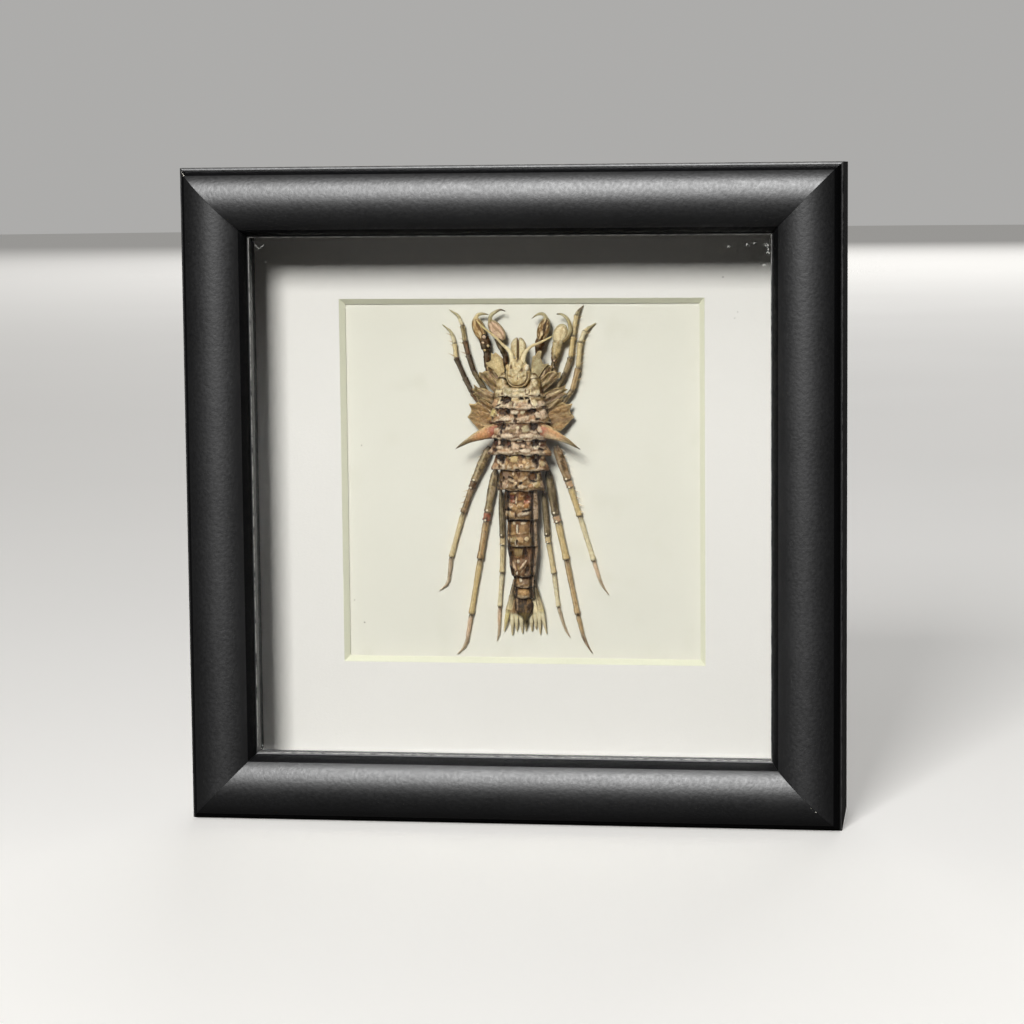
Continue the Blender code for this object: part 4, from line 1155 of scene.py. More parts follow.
def armour_shade(number, x, s, across, along, rise, off_axis, strip, furrow, marks):
    """The shade of a place on a ring: its own three, blotches, marks, and painted shade at furrows, seam,
    underside.
    """
    front_shade, ridge_shade, flank_shade = ARMOUR[number][6:]
    narrow = number >= FIRST_NARROW_RING
    pale = patches(0.8, x, s, 12.0)
    dark = patches(0.55, x, s, 21.0) + 0.4 * patches(0.25, x, s, 25.0)
    shade = layered(
        SHADES[front_shade],
        (ease(along + 0.2 * pale, 0.28, 0.5), ridge_shade),
        (ease(abs(across), 0.66, 0.95), flank_shade),
        (0.3 * ease(pale, 0.05, 0.4) * ease(along, 0.3, 0.6), "bone"),
    )
    # The strip darkens towards its edges, painted shade fills the furrows, and the pearl band outside the
    # right one is partly its own colour and partly painted light
    if narrow:
        shade = layered(
            shade,
            (0.75 * ease(abs(off_axis), 0.55 * strip, strip), "bark"),
            (ease(off_axis, strip, strip + 0.4), "mauve"),
            (peak(abs(off_axis), strip + 0.05, 0.4), "soot"),
            (peak(off_axis, strip + 0.9, 0.5) * ease(dark, 0.4, 0.0), "pearl"),
        )
    shade = layered(
        shade,
        (0.6 * ease(dark, 0.1, 0.4), "dun"),
        *((0.95 * share, mark) for share, mark in marks),
        (0.5 * ease(dark, 0.3, 0.6), "umber"),
        (0.8 * furrow, "soot"),
    )
    # Painted shade at the ring's front, where it goes under the rear edge of the ring before
    seam = blend(0.5, SHADES["soot"], SHADES["bark"]) if narrow else SHADES["soot"]
    shade = blend(0.9 * (1 - ease(along, 0.0, SEAM_SHARE)), shade, seam)
    # Painted shade on the lower flanks and the underside, lighter on the right of the narrow rings
    under = 0.25 if narrow and across > 0 else 0.6
    return layered(shade, (under * ease(-rise, -0.25, 0.1), "bark"))


def armour_ring(s, number, along, half_width, back, waist):
    """The points and the shades of one row of the armour, round the back and the belly."""
    flare = ARMOUR[number][5]
    turns = [math.pi * column / BACK_COLUMNS for column in range(BACK_COLUMNS)]
    turns += [math.pi * (1 + column / BELLY_COLUMNS) for column in range(BELLY_COLUMNS)]
    ring, row = [], []
    for turn in turns:
        across, rise = math.cos(turn), math.sin(turn)
        x = AXIS_OFFSET + AXIS_LEAN * s + half_width * across
        off_axis = x - AXIS_OFFSET - AXIS_LEAN * s
        place_s = s
        marks = []
        relief = 0.0
        furrow = 0.0
        strip = STRIP_HALF
        if rise > 0:
            x += flare * ease(abs(across), 0.86, 1.0) * ease(along, 0.5, 0.95) * across
            wave = noise.noise(Vector((x / 2.3, number * 3.1, 0.0)))
            edge = wave + 0.35 * noise.noise(Vector((x / 0.7, number * 3.1, 0.0)))
            place_s += 0.45 * ease(along, 0.4, 0.95) * edge * ease(rise, 0.0, 0.2)
            if number < HEAD_RINGS:
                place_s += SHOULDER_LIFT * ease(s, 23.6, 26.8) * ease(abs(across), 0.3, 0.75)
            h = waist + (back - waist) * rise
            relief, marks = relief_at(x, place_s)
            if number < HEAD_RINGS:
                relief -= SADDLE_DEPTH * ease(s, 25.1, 26.0) * ease(abs(off_axis), 3.5, 2.7)
            strip = STRIP_HALF * min(1.0, half_width / STRIP_FULL_WIDTH)
            if number >= FIRST_NARROW_RING:
                furrow = peak(abs(off_axis), strip, 0.3)
                relief -= 0.7 * furrow
            relief *= ease(rise, 0.0, 0.3)
        else:
            h = waist + (waist - CARD_GAP) * rise
            x += half_width * across * BELLY_TAPER * rise
        rough = crumple(x, place_s, h) * (0.25 + 0.75 * ease(rise, -0.3, 0.3))
        x += rough * across
        h = max(h + relief + rough * abs(rise), CARD_GAP)
        ring.append((x, place_s, h))
        row.append(armour_shade(number, x, place_s, across, along, rise, off_axis, strip, furrow, marks))
    return ring, row


def shell_finish(name, gloss=0.34, mottle=0.5):
    """Dried shell: its tint, darker in specks and blotches, with a fine grain and a patchy gloss."""
    finish = Finish(name)
    tint = finish.node("Attribute", {"attribute_name": "tint"}, give="Color")
    blotch = finish.ramp(finish.spot(1500, 5), (0.40, (0, 0, 0)), (0.60, (1, 1, 1)))
    speck = finish.ramp(finish.spot(3800, 3), (0.46, (0, 0, 0)), (0.64, (1, 1, 1)))
    grain = finish.spot(4200, 3)
    shade = finish.mix(blotch * mottle, tint, paint(204, 180, 146), "MULTIPLY")
    shade = finish.mix(speck * (mottle * 0.6), shade, paint(146, 120, 90), "MULTIPLY")
    relief = finish.bump(blotch * 0.5 + grain, 0.00016)
    rough = gloss + grain * 0.25
    return finish.coat(Base_Color=shade, Roughness=rough, Normal=relief, Specular_IOR_Level=0.16)


keep_marks(RELIEF)
body_shell = Shell()
rings, tints = zip(*(armour_ring(*row) for row in armour_rows()))
body_shell.add(rings, painted_shade_and_highlight(rings, tints))
body_finish = shell_finish("body_shell")

# Head
# A smooth pale shield, narrower in front, with a double rolled rim round its rear, two pale eye patches, and
# in front of it a bud of mouthparts in two lobes that meet in a brown groove.
HEAD_OUTLINE = (
    *((0.0, 25.5), (1.4, 25.7), (2.4, 26.5), (3.0, 27.8), (3.1, 29.2), (2.8, 30.6), (2.2, 31.6)),
    *((1.7, 32.5), (0.9, 32.9), (0.0, 32.4), (-0.9, 32.9), (-1.7, 32.5), (-2.2, 31.6), (-2.8, 30.6)),
    *((-3.1, 29.2), (-3.0, 27.8), (-2.4, 26.5), (-1.4, 25.7)),
)
HEAD_MARKS = (
    (-0.1, 30.0, 1.5, 1.8, 0, 0.4, "bone"),
    (-0.8, 31.9, 1.0, 1.4, 0, 0.3, "bone"),
    (0.9, 31.9, 0.9, 1.2, 0, 0.3, "bone"),
    (-1.5, 30.8, 0.6, 0.8, 0, -0.3, "umber"),
    (1.3, 30.0, 0.5, 1.1, 0, -0.3, "umber"),
    (-1.5, 28.4, 1.6, 0.3, 15, -0.2, "dun"),
    (1.4, 28.4, 1.6, 0.3, -15, -0.2, "dun"),
    (-0.1, 28.7, 1.0, 0.3, 0, -0.2, "dun"),
    (0.2, 28.0, 0.3, 0.8, 0, -0.2, "dun"),
    (-0.8, 27.2, 1.4, 1.2, 0, 0.3, "cream"),
    (0.9, 27.2, 1.4, 1.2, 0, 0.3, "cream"),
)
HEAD_MIDDLE = 5.8
HEAD_HALF = 2.9
BUD_HALF_OUTLINE = (
    *((0.0, 31.8), (0.6, 32.4), (1.5, 33.8), (2.0, 35.0)),
    *((1.9, 36.3), (1.2, 37.5), (0.3, 38.0), (0.0, 37.2)),
)
BUD_MIDDLE = 5.2
BUD_HALF = 1.3
EYES = ((-2.3, 30.5, 7.6, "cream"), (2.3, 30.5, 7.7, "glint"))
EYE_RADII = (0.6, 0.95, 0.6)
# Degrees that an eye patch leans out for each millimetre from the middle
EYE_LEAN = 8
EYE_COLUMNS = 24
EYE_RINGS = 6
OUTLINE_STEP = 0.22
PAD_RINGS = 14


def even_outline(corners, rounding=2):
    """Points every fifth of a millimetre round a polygon, its corners rounded by averaging."""
    points = []
    for here, after in zip(corners, (*corners[1:], corners[0])):
        length = math.dist(here, after)
        steps = max(1, round(length / OUTLINE_STEP))
        points += [blend(step / steps, here, after) for step in range(steps)]
    for _ in range(rounding):
        threes = zip(points[-1:] + points[:-1], points, points[1:] + points[:1])
        points = [tuple((a + 2 * b + c) / 4 for a, b, c in zip(*three)) for three in threes]
    return points


def pad(shell, outline, middle, half, shade, rough, fullness=1.0, rings=PAD_RINGS):
    """A closed cushion over an outline. The middle and half height, and the shade, may change over it:
    each is called with x, s, the reach from 0 in the middle to 1 at the rim, and the level from -1 to 1."""
    centre = tuple(sum(part) / len(outline) for part in zip(*outline))
    skin, tints = [], []
    for step in range(1, 2 * rings):
        turn = math.pi * step / (2 * rings)
        reach = math.sin(turn) ** fullness
        level = -math.cos(turn)
        ring, row = [], []
        for point in outline:
            x, s = blend(reach, centre, point)
            h = middle(x, s) + level * half(x, s, reach)
            if level > 0:
                h += crumple(x, s, h) * rough
            ring.append((x, s, max(h, CARD_GAP)))
            row.append(shade(x, s, reach, level))
        skin.append(ring)
        tints.append(row)
    shell.add(skin, tints)


def egg_outline(centre, radii, heading, points):
    """An ellipse on the card, its long axis turned by the heading from straight up."""
    turn = math.radians(heading)
    outline = []
    for number in range(points):
        angle = 2 * math.pi * number / points
        across, along = radii[0] * math.cos(angle), radii[1] * math.sin(angle)
        x = centre[0] + across * math.cos(turn) + along * math.sin(turn)
        s = centre[1] - across * math.sin(turn) + along * math.cos(turn)
        outline.append((x, s))
    return outline


def head_half(x, s, reach):
    behind = ease(s, 31.0, 29.0)
    rims = 0.35 * peak(reach, 0.93, 0.05) - 0.45 * peak(reach, 0.83, 0.05) + 0.25 * peak(reach, 0.74, 0.04)
    cheek = 0.35 * peak(abs(x), 1.0, 0.45) * peak(s, 31.3, 1.2)
    return HEAD_HALF + behind * rims + cheek + relief_at(x, s)[0]


def head_shade(x, s, reach, level):
    behind = ease(s, 31.0, 29.0)
    return layered(
        SHADES["bone"],
        (0.8 * ease(patches(0.6, x, s, 5.0), 0.0, 0.35), "wheat"),
        *((0.7 * share, mark) for share, mark in relief_at(x, s)[1]),
        # Painted highlight on the crest of the rear rim and painted shade in the groove inside it
        (0.8 * behind * peak(reach, 0.93, 0.05), "bone"),
        (0.9 * behind * peak(reach, 0.83, 0.05), "umber"),
        (0.45 * peak(abs(x), 1.5, 0.3) * peak(s, 29.6, 1.4), "umber"),
        (0.8 * peak(x, 0.0, 0.3) * ease(s, 31.2, 32.2), "umber"),
        # Painted shade on the sides and underside
        (0.95 * ease(0.35 - level, 0, 0.4), "bark"),
    )


def bud_shade(x, s, reach, level):
    streak = noise.noise(Vector((x * 3.0, s * 0.4, 2.0)))
    return layered(
        SHADES["ivory"],
        (0.6 * ease(streak, 0.0, 0.4), "reed"),
        (0.5 * ease(reach, 0.88, 1.0), "dun"),
        (0.85 * ease(abs(x), 0.5, 0.1), "umber"),
        (0.25 * ease(-x * s, 0.0, 40.0), "khaki"),
        (0.5 * ease(s, 36.8, 38.0), "plum"),
    )


def same(value):
    """What pad() calls for a measure or a shade that is the same all over."""
    return lambda *_: value


keep_marks(HEAD_MARKS)
shield = even_outline(HEAD_OUTLINE)
pad(body_shell, shield, same(HEAD_MIDDLE), head_half, head_shade, rough=0.3, fullness=0.55, rings=24)
for side in (-1, 1):
    outline = even_outline([(side * x, s) for x, s in BUD_HALF_OUTLINE], 3)
    pad(body_shell, outline, same(BUD_MIDDLE), same(BUD_HALF), bud_shade, rough=0.15, fullness=0.9)
for eye_x, eye_s, eye_h, shade_name in EYES:
    outline = egg_outline((eye_x, eye_s), EYE_RADII[:2], EYE_LEAN * eye_x, EYE_COLUMNS)
    shade = same(SHADES[shade_name])
    pad(body_shell, outline, same(eye_h), same(EYE_RADII[2]), shade, rough=0.1, rings=EYE_RINGS)

# Side plates
# Six thin overlapping plates hang off each flank of the head and the first rings. Each has a pale rolled
# rim, streaks and low ridges that run outwards, and a ragged end. They slope down towards the card.

# The first pair, whose two plates differ. Each plate: side, height at the foot with its fall outwards and
# forwards, outline, shade and how streaky it is.
FIRST_PLATES = (
    (
        -1,
        (5.6, 0.08, 0.06),
        (
            *((4.0, 27.9), (3.4, 29.7), (4.0, 32.8), (5.8, 34.3), (6.2, 33.7), (6.9, 34.2)),
            *((6.9, 32.1), (8.3, 31.6), (7.7, 30.8), (6.2, 29.8), (5.2, 28.6), (4.8, 27.4)),
        ),
        "reed",
        0.05,
    ),
    (
        1,
        (5.6, 0.08, 0.06),
        (
            *((3.8, 27.4), (2.9, 28.6), (3.2, 30.8), (3.5, 33.2), (4.2, 33.5), (4.8, 34.6), (5.8, 34.6)),
            *((5.5, 32.8), (6.0, 31.3), (7.6, 31.5), (6.3, 30.1), (4.8, 27.7)),
        ),
        "lichen",
        0.05,
    ),
)
# The other five pairs: the same values for the right plate, which the left one mirrors
PLATES = (
    (
        (4.9, 0.20, 0.05),
        (
            *((4.2, 26.2), (4.0, 27.6), (5.8, 30.4), (7.2, 31.2)),
            *((8.2, 30.6), (7.6, 28.8), (6.4, 26.2), (5.6, 25.2)),
        ),
        "plum",
        0.95,
    ),
    (
        (5.6, 0.30, 0.10),
        (
            *((4.0, 25.6), (5.2, 27.2), (7.2, 29.3), (8.6, 29.6), (9.3, 29.1), (10.2, 29.3)),
            *((10.2, 27.9), (9.3, 27.4), (8.1, 26.3), (5.6, 23.8)),
        ),
        "khaki",
        0.9,
    ),
    (
        (5.4, 0.26, 0.0),
        (
            *((5.2, 23.6), (8.7, 25.3), (10.3, 25.5), (11.6, 26.3), (11.2, 25.4), (12.0, 24.9)),
            *((11.0, 24.3), (11.8, 23.9), (9.9, 22.8), (6.0, 20.8)),
        ),
        "khaki",
        0.9,
    ),
    (
        (5.2, 0.28, 0.0),
        ((5.8, 20.2), (9.0, 22.8), (10.0, 22.6), (10.9, 23.3), (10.6, 22.3), (10.2, 21.8), (6.6, 18.4)),
        "dun",
        0.7,
    ),
    (
        (5.0, 0.36, 0.0),
        (
            *((6.0, 19.4), (10.5, 21.9), (11.6, 21.3), (13.0, 21.4), (12.3, 19.8), (12.6, 19.0)),
            *((13.4, 18.0), (12.4, 17.1), (11.6, 16.2), (10.1, 14.6), (6.0, 15.6)),
        ),
        "fawn",
        0.5,
    ),
)
PLATE_HALF = 0.3
PLATE_RINGS = 18


def add_plate(side, slope, corners, shade_name, streaky):
    foot_h, fall_out, fall_forward = slope
    foot_x, foot_s = corners[0]
    outline = even_outline([(side * x, s) for x, s in corners], 1)
    root_x, root_s = ((one + two) / 2 for one, two in zip(corners[0], corners[-1]))
    centre_x, centre_s = (sum(part) / len(corners) for part in zip(*corners))
    way = Vector((centre_x - root_x, centre_s - root_s)).normalized()

    def lanes(x, s):
        """Distance out along the plate from its root, and sideways from its middle line."""
        out_x, out_s = abs(x) - root_x, s - root_s
        return out_x * way.x + out_s * way.y, out_s * way.x - out_x * way.y

    def middle(x, s):
        out, off = lanes(x, s)
        h = foot_h - fall_out * (abs(x) - foot_x) - fall_forward * (s - foot_s)
        ridge = 0.16 * math.sin(off * 4.2 + side) + 0.1 * noise.noise(Vector((off * 1.8, out * 0.3, side)))
        return h + streaky * ridge

    def half(x, s, reach):
        return PLATE_HALF + 0.14 * peak(reach, 0.92, 0.06)

    def shade(x, s, reach, level):
        out, off = lanes(x, s)
        streak = noise.noise(Vector((off * 1.6, out * 0.22, 7.0 * side)))
        streak += 0.5 * noise.noise(Vector((off * 4.0, out * 0.5, 9.0)))
        blot = patches(0.7, x, s, 31.0) + 0.4 * patches(0.25, x, s, 31.0)
        stain = patches(1.3, x, s, 44.0)
        return layered(
            SHADES[shade_name],
            (streaky * ease(streak, 0.0, 0.25), "bark"),
            (streaky * 0.7 * ease(-streak, 0.1, 0.35), "bone"),
            (streaky * 0.7 * ease(stain, 0.0, 0.3), "olive"),
            (streaky * 0.5 * ease(-stain, 0.15, 0.4), "mauve"),
            ((0.1 + 0.6 * streaky) * ease(blot, 0.0, 0.4), "umber"),
            (streaky * 0.9 * ease(-blot, 0.3, 0.6) * ease(s, 23.0, 20.0), "rust"),
            # Painted shade at the root, where the plate goes under the body
            (0.9 * ease(out, 1.8, 0.3) * (0.3 + 0.7 * ease(streaky, 0.1, 0.3)), "bark"),
            # Painted shade towards the rim, for the plate's curve
            ((0.5 - 0.3 * streaky) * ease(reach, 0.3, 0.95), "khaki"),
            (0.85 * streaky * ease(out, 4.5, 7.0), "olive"),
            (0.7 * ease(reach, 0.86, 0.93) * ease(level, -0.2, 0.3), "cream"),
            # Painted shade on the sides and underside
            (0.95 * ease(0.25 - level, 0, 0.3), "bark"),
        )

    pad(body_shell, outline, middle, half, shade, rough=0.25, fullness=0.45, rings=PLATE_RINGS)


for plate in FIRST_PLATES:
    add_plate(*plate)
for side in (-1, 1):
    for plate in PLATES:
        add_plate(side, *plate)

# Side spines
# One strong curved spine on each flank, grown from the shell. It is red at its root, amber along its middle
# and dark olive at its tip, with a painted highlight along its upper edge and painted shade along its lower
# one.

# Stations of the right one: x, s, height off the card, radius and shade
SPINE = (
    (5.0, 15.1, 7.0, 1.7, "brick"),
    (6.8, 14.8, 7.4, 1.75, "rose"),
    (8.2, 14.4, 7.8, 1.5, "amber"),
    (10.0, 13.7, 8.2, 1.1, "amber"),
    (12.2, 12.7, 8.5, 0.65, "khaki"),
    (14.0, 11.6, 8.6, 0.35, "olive"),
    (15.5, 10.6, 8.5, 0.06, "bark"),
)
ROD_STEP = 0.3
ROD_COLUMNS = 20
# Streaks along a rod are this far apart in noise space from ring to ring
STREAK_STEP = 0.12
LEAST_RADIUS = 0.03
LOWEST_ROD = 0.05


def between(before, here, after, later, share):
    """A point on a smooth curve between two of four points."""
    return tuple(
        b + share * 0.5 * (c - a + share * (2 * a - 5 * b + 4 * c - d + share * (3 * b - 3 * c + d - a)))
        for a, b, c, d in zip(before, here, after, later)
    )


def rod(shell, stations, smooth=True, flat=1.0, rough=0.06, columns=ROD_COLUMNS, mottle=0.0, edge=0.0):
    """A rod of shell through stations: x, s, h, radius and shade. Its ends taper shut. Mottle darkens it in
    blotches. It has painted shade on its sides and underside, painted light on the right of thin pale rods
    and a painted highlight along its top; edge paints a highlight on the side towards the head and shade on
    the other."""
    path = []
    last = len(stations) - 1
    for number in range(last):
        here, after = stations[number], stations[number + 1]
        steps = max(1, round(math.dist(here[:3], after[:3]) / ROD_STEP))
        for step in range(steps):
            share = step / steps
            four = [stations[min(max(number + hop, 0), last)][:4] for hop in (-1, 0, 1, 2)]
            place = between(*four, share) if smooth else blend(share, here[:4], after[:4])
            path.append((*place, blend(share, here[4], after[4])))
    path.append(stations[-1])
    painted_side_shade = blend(0.5, SHADES["umber"], SHADES["bark"])
    rings, tints = [], []
    for number, (x, s, h, radius, shade) in enumerate(path):
        before, after = path[max(number - 1, 0)], path[min(number + 1, len(path) - 1)]
        way = Vector((after[0] - before[0], after[1] - before[1], after[2] - before[2])).normalized()
        side = way.cross(Vector((0, 0, 1))).normalized()
        up = side.cross(way)
        # How strongly painted shade darkens the sides and underside, less where edge paints its own
        painted_side_share = (0.2 + 0.5 * ease(radius, 0.7, 1.2)) * (1 - edge)
        # Painted light on the right side of thin pale rods, which the lamp leaves in shade
        painted_light_share = 0.45 * ease(radius, 1.3, 0.6) * ease(shade[1], 0.05, 0.3)
        dark = mottle * (1 - 0.7 * ease(shade[1], 0.2, 0.5))
        ash_share = 0.25 + 0.75 * ease(shade[1], 0.04, 0.15)
        # A painted highlight along the top, left of the middle
        highlight_share = 0.15 + 0.4 * ease(shade[1], 0.05, 0.3)
        ring, row = [], []
        for column in range(columns):
            turn = 2 * math.pi * column / columns
            cosine, sine = math.cos(turn), math.sin(turn)
            reach = side * cosine + up * (flat * sine)
            place = Vector((x, s, h)) + reach * max(radius, LEAST_RADIUS)
            place += reach * (rough * noise.noise(place / 0.55) + rough * 0.6 * noise.noise(place / 0.22))
            blot = 0.6 * noise.noise(place / 0.5) + 0.4 * noise.noise(place / 0.22)
            blot += noise.noise(Vector((cosine * 1.7, number * STREAK_STEP, x + radius * 9)))
            tint = layered(
                shade,
                (1.5 * dark * ease(blot, 0.0, 0.45), "bark"),
                (dark * ease(-blot, 0.1, 0.4) * ash_share, "ash"),
                (highlight_share * peak(reach.x, -0.35, 0.2) * ease(sine, 0.3, 0.6), "ivory"),
                (painted_light_share * ease(reach.x, 0.35, 0.95), "bone"),
            )
            tint = blend(painted_side_share * ease(0.5 - sine, 0.0, 0.4), tint, painted_side_shade)
            # edge: a painted highlight on the side towards the head, which faces the lamps, and painted shade
            # on the far side
            tint = layered(
                tint,
                (edge * ease(reach.y, 0.55, 0.95), "cream"),
                (edge * ease(-reach.y, 0.5, 0.95), "bark"),
            )
            ring.append((place.x, place.y, max(place.z, LOWEST_ROD)))
            row.append(tint)
        rings.append(ring)
        tints.append(row)
    shell.add(rings, tints)


def shaded(stations):
    return [(*rest, SHADES[shade]) for *rest, shade in stations]


for side in (-1, 1):
    spine = shaded([(side * x, *rest) for x, *rest in SPINE])
    rod(body_shell, spine, flat=0.8, columns=28, mottle=0.35, edge=0.8)
fit_piece("body_armour", body_shell.mesh("body_armour"), body_finish, "armour_cream", "body")

# Claw arms
# Two pairs of arms of hard shell at the head, each jointed to an oval hand with a hooked claw that folds over
# it. They sank towards the card as they dried.

# Each: name, stations of the arm, the hand (centre, heading, half sizes, ground shade, streak shade and how
# streaky it is), stations of the claw, and the shiny knobs (x, s, height, radius, and a shade unless pearl).
CLAW_ARMS = (
    (
        "claw_arm_outer_left",
        (
            (-7.9, 29.0, 2.2, 0.6, "umber"),
            (-8.4, 31.5, 2.5, 0.7, "umber"),
            (-8.3, 34.0, 3.0, 0.8, "bark"),
            (-8.5, 35.7, 3.6, 1.2, "bark"),
            (-9.0, 37.8, 4.1, 1.3, "umber"),
        ),
        ((-10.1, 39.9, 4.2), -21.0, (1.6, 3.0, 1.0), "sand", "umber", 0.85),
        (
            (-11.0, 42.2, 4.3, 0.55, "wheat"),
            (-10.4, 43.3, 4.3, 0.45, "reed"),
            (-9.2, 43.6, 4.3, 0.35, "lichen"),
            (-7.7, 43.4, 4.2, 0.08, "olive"),
        ),
        (
            *((-8.7, 37.9, 5.2, 0.5), (-9.0, 36.6, 4.9, 0.4)),
            *((-7.8, 35.7, 4.6, 0.4, "cream"), (-8.7, 34.6, 4.2, 0.36, "cream")),
        ),
    ),
    (
        "claw_arm_inner_left",
        (
            (-3.9, 30.2, 2.4, 0.55, "bark"),
            (-3.7, 31.9, 3.0, 0.6, "umber"),
            (-3.8, 33.7, 3.5, 0.65, "bark"),
            (-4.7, 35.7, 4.2, 0.8, "olive"),
            (-5.3, 37.6, 4.5, 1.0, "umber"),
        ),
        ((-5.6, 39.5, 4.6), -38.0, (1.6, 3.1, 1.0), "shin", "dun", 0.6),
        (
            (-7.2, 41.5, 4.8, 0.55, "moss"),
            (-7.1, 43.0, 4.9, 0.5, "lichen"),
            (-6.0, 44.0, 5.0, 0.4, "lichen"),
            (-4.6, 44.6, 5.0, 0.25, "slate"),
            (-3.4, 44.2, 5.0, 0.08, "bark"),
        ),
        ((-5.6, 37.0, 5.0, 0.3),),
    ),
    (
        "claw_arm_inner_right",
        (
            (4.2, 31.0, 2.4, 0.55, "bark"),
            (4.4, 33.6, 2.8, 0.65, "umber"),
            (4.9, 35.4, 3.8, 1.1, "umber"),
            (5.4, 37.3, 4.4, 1.2, "umber"),
        ),
        ((6.0, 39.7, 4.6), 17.0, (1.55, 3.1, 1.0), "dun", "bark", 1.0),
        (
            (6.8, 42.4, 4.7, 0.5, "lichen"),
            (5.9, 43.5, 4.8, 0.42, "lichen"),
            (4.5, 43.4, 4.9, 0.3, "lichen"),
            (3.1, 42.4, 4.9, 0.08, "slate"),
        ),
        (),
    ),
    (
        "claw_arm_outer_right",
        (
            (8.2, 27.8, 2.2, 0.6, "umber"),
            (8.4, 30.8, 2.8, 0.65, "khaki"),
            (8.6, 32.3, 3.2, 0.75, "umber"),
            (9.0, 34.2, 3.8, 1.1, "wheat"),
            (9.4, 36.4, 4.2, 1.2, "reed"),
        ),
        ((10.1, 38.5, 4.4), 20.0, (1.8, 2.7, 1.0), "bone", "fawn", 0.5),
        (
            (10.7, 36.8, 4.5, 0.6, "khaki"),
            (11.9, 37.9, 4.6, 0.55, "khaki"),
            (12.6, 39.7, 4.8, 0.5, "lichen"),
            (12.4, 41.4, 4.9, 0.45, "moss"),
            (11.7, 42.6, 4.9, 0.4, "lichen"),
            (10.6, 43.4, 4.9, 0.3, "lichen"),
            (9.3, 43.5, 4.9, 0.14, "bark"),
        ),
        ((8.5, 32.0, 4.0, 0.26), (8.3, 30.4, 3.6, 0.24)),
    ),
)
HAND_COLUMNS = 64
KNOB_COLUMNS = 16
KNOB_RINGS = 5
# The dark ring round a knob: its columns, and its size as a share of the knob's
DARK_RING_COLUMNS = 20
DARK_RING_SIZE = 1.5
# How far a knob stands out of its ring, as a share of its radius
KNOB_RISE = 0.6


def add_hand(shell, centre, heading, radii, ground, streak_name, streaky):
    turn = math.radians(heading)

    def shade(x, s, reach, level):
        off_x, off_s = x - centre[0], s - centre[1]
        out = off_x * math.sin(turn) + off_s * math.cos(turn)
        off = off_x * math.cos(turn) - off_s * math.sin(turn)
        streak = noise.noise(Vector((off * 1.5, out * 0.45, 3.0)))
        streak += 0.5 * noise.noise(Vector((off * 3.5, out * 1.2, 9.0)))
        return layered(
            SHADES[ground],
            (streaky * ease(streak, 0.0, 0.25), streak_name),
            (streaky * 0.8 * ease(-streak, 0.15, 0.4), "bone"),
            (0.5 * peak(reach, 0.82, 0.05), "umber"),
            (0.8 * ease(reach, 0.84, 0.93), "lichen"),
            # Painted shade on the sides and underside
            (0.95 * ease(0.25 - level, 0, 0.3), "bark"),
        )

    outline = egg_outline(centre, radii, heading, HAND_COLUMNS)
    pad(shell, outline, same(centre[2]), same(radii[2]), shade, rough=0.7, fullness=0.7)


def add_knob(shell, x, s, h, radius, shade_name="pearl"):
    """A shiny round knob in a dark ring."""
    ring_radius = radius * DARK_RING_SIZE
    dark_ring = egg_outline((x, s), (ring_radius, ring_radius), 0.0, DARK_RING_COLUMNS)
    pad(shell, dark_ring, same(h), same(radius), same(SHADES["soot"]), rough=0.2, rings=KNOB_RINGS)
    knob = egg_outline((x, s), (radius, radius), 0.0, KNOB_COLUMNS)
    top, shade = same(h + radius * KNOB_RISE), same(SHADES[shade_name])
    pad(shell, knob, top, same(radius), shade, rough=0.1, rings=KNOB_RINGS)


# The dried arms have sunk: they lie this share of their height above the card
SUNK = 0.72


def sunk(stations):
    return [(x, s, h * SUNK, *rest) for x, s, h, *rest in stations]


claw_finish = shell_finish("claw_shell", 0.3, 0.3)
for name, arm, (hand_centre, *hand), claw, knobs in CLAW_ARMS:
    shell = Shell()
    rod(shell, shaded(sunk(arm)), rough=0.3, mottle=0.9)
    add_hand(shell, *sunk([hand_centre]), *hand)
    rod(shell, shaded(sunk(claw)), rough=0.03)
    for knob in sunk(knobs):
        add_knob(shell, *knob)
    fit_piece(f"{name}_shell", shell.mesh(f"{name}_shell"), claw_finish, "claw_tan", name)

# Feelers
# A pair of short pale jointed feelers that grow from the head on both sides of the bud. They spread apart and
# have dried clear of the card.
FEELERS = (
    (
        "antenna_left",
        (
            (-1.2, 31.2, 7.4, 0.6, "bone"),
            (-1.5, 33.1, 7.0, 0.58, "bone"),
            (-2.0, 34.6, 6.9, 0.48, "bone"),
            (-3.9, 36.4, 6.9, 0.36, "cream"),
            (-5.4, 38.0, 6.9, 0.3, "cream"),
            (-8.5, 40.5, 6.9, 0.22, "straw"),
            (-10.3, 42.3, 6.8, 0.06, "straw"),
        ),
    ),
    (
        "antenna_right",
        (
            (1.2, 31.2, 7.4, 0.6, "bone"),
            (1.5, 33.1, 7.0, 0.58, "bone"),
            (2.2, 34.6, 6.9, 0.48, "bone"),
            (3.5, 35.8, 6.9, 0.36, "cream"),
            (5.6, 36.7, 6.9, 0.3, "cream"),
            (7.8, 37.8, 6.9, 0.2, "straw"),
            (8.7, 38.4, 6.8, 0.06, "straw"),
        ),
    ),
)

feeler_finish = shell_finish("feeler_shell", 0.36, 0.2)
for name, stations in FEELERS:
    shell = Shell()
    rod(shell, shaded(stations), rough=0.04)
    fit_piece(f"{name}_shell", shell.mesh(f"{name}_shell"), feeler_finish, "feeler_cream", name)

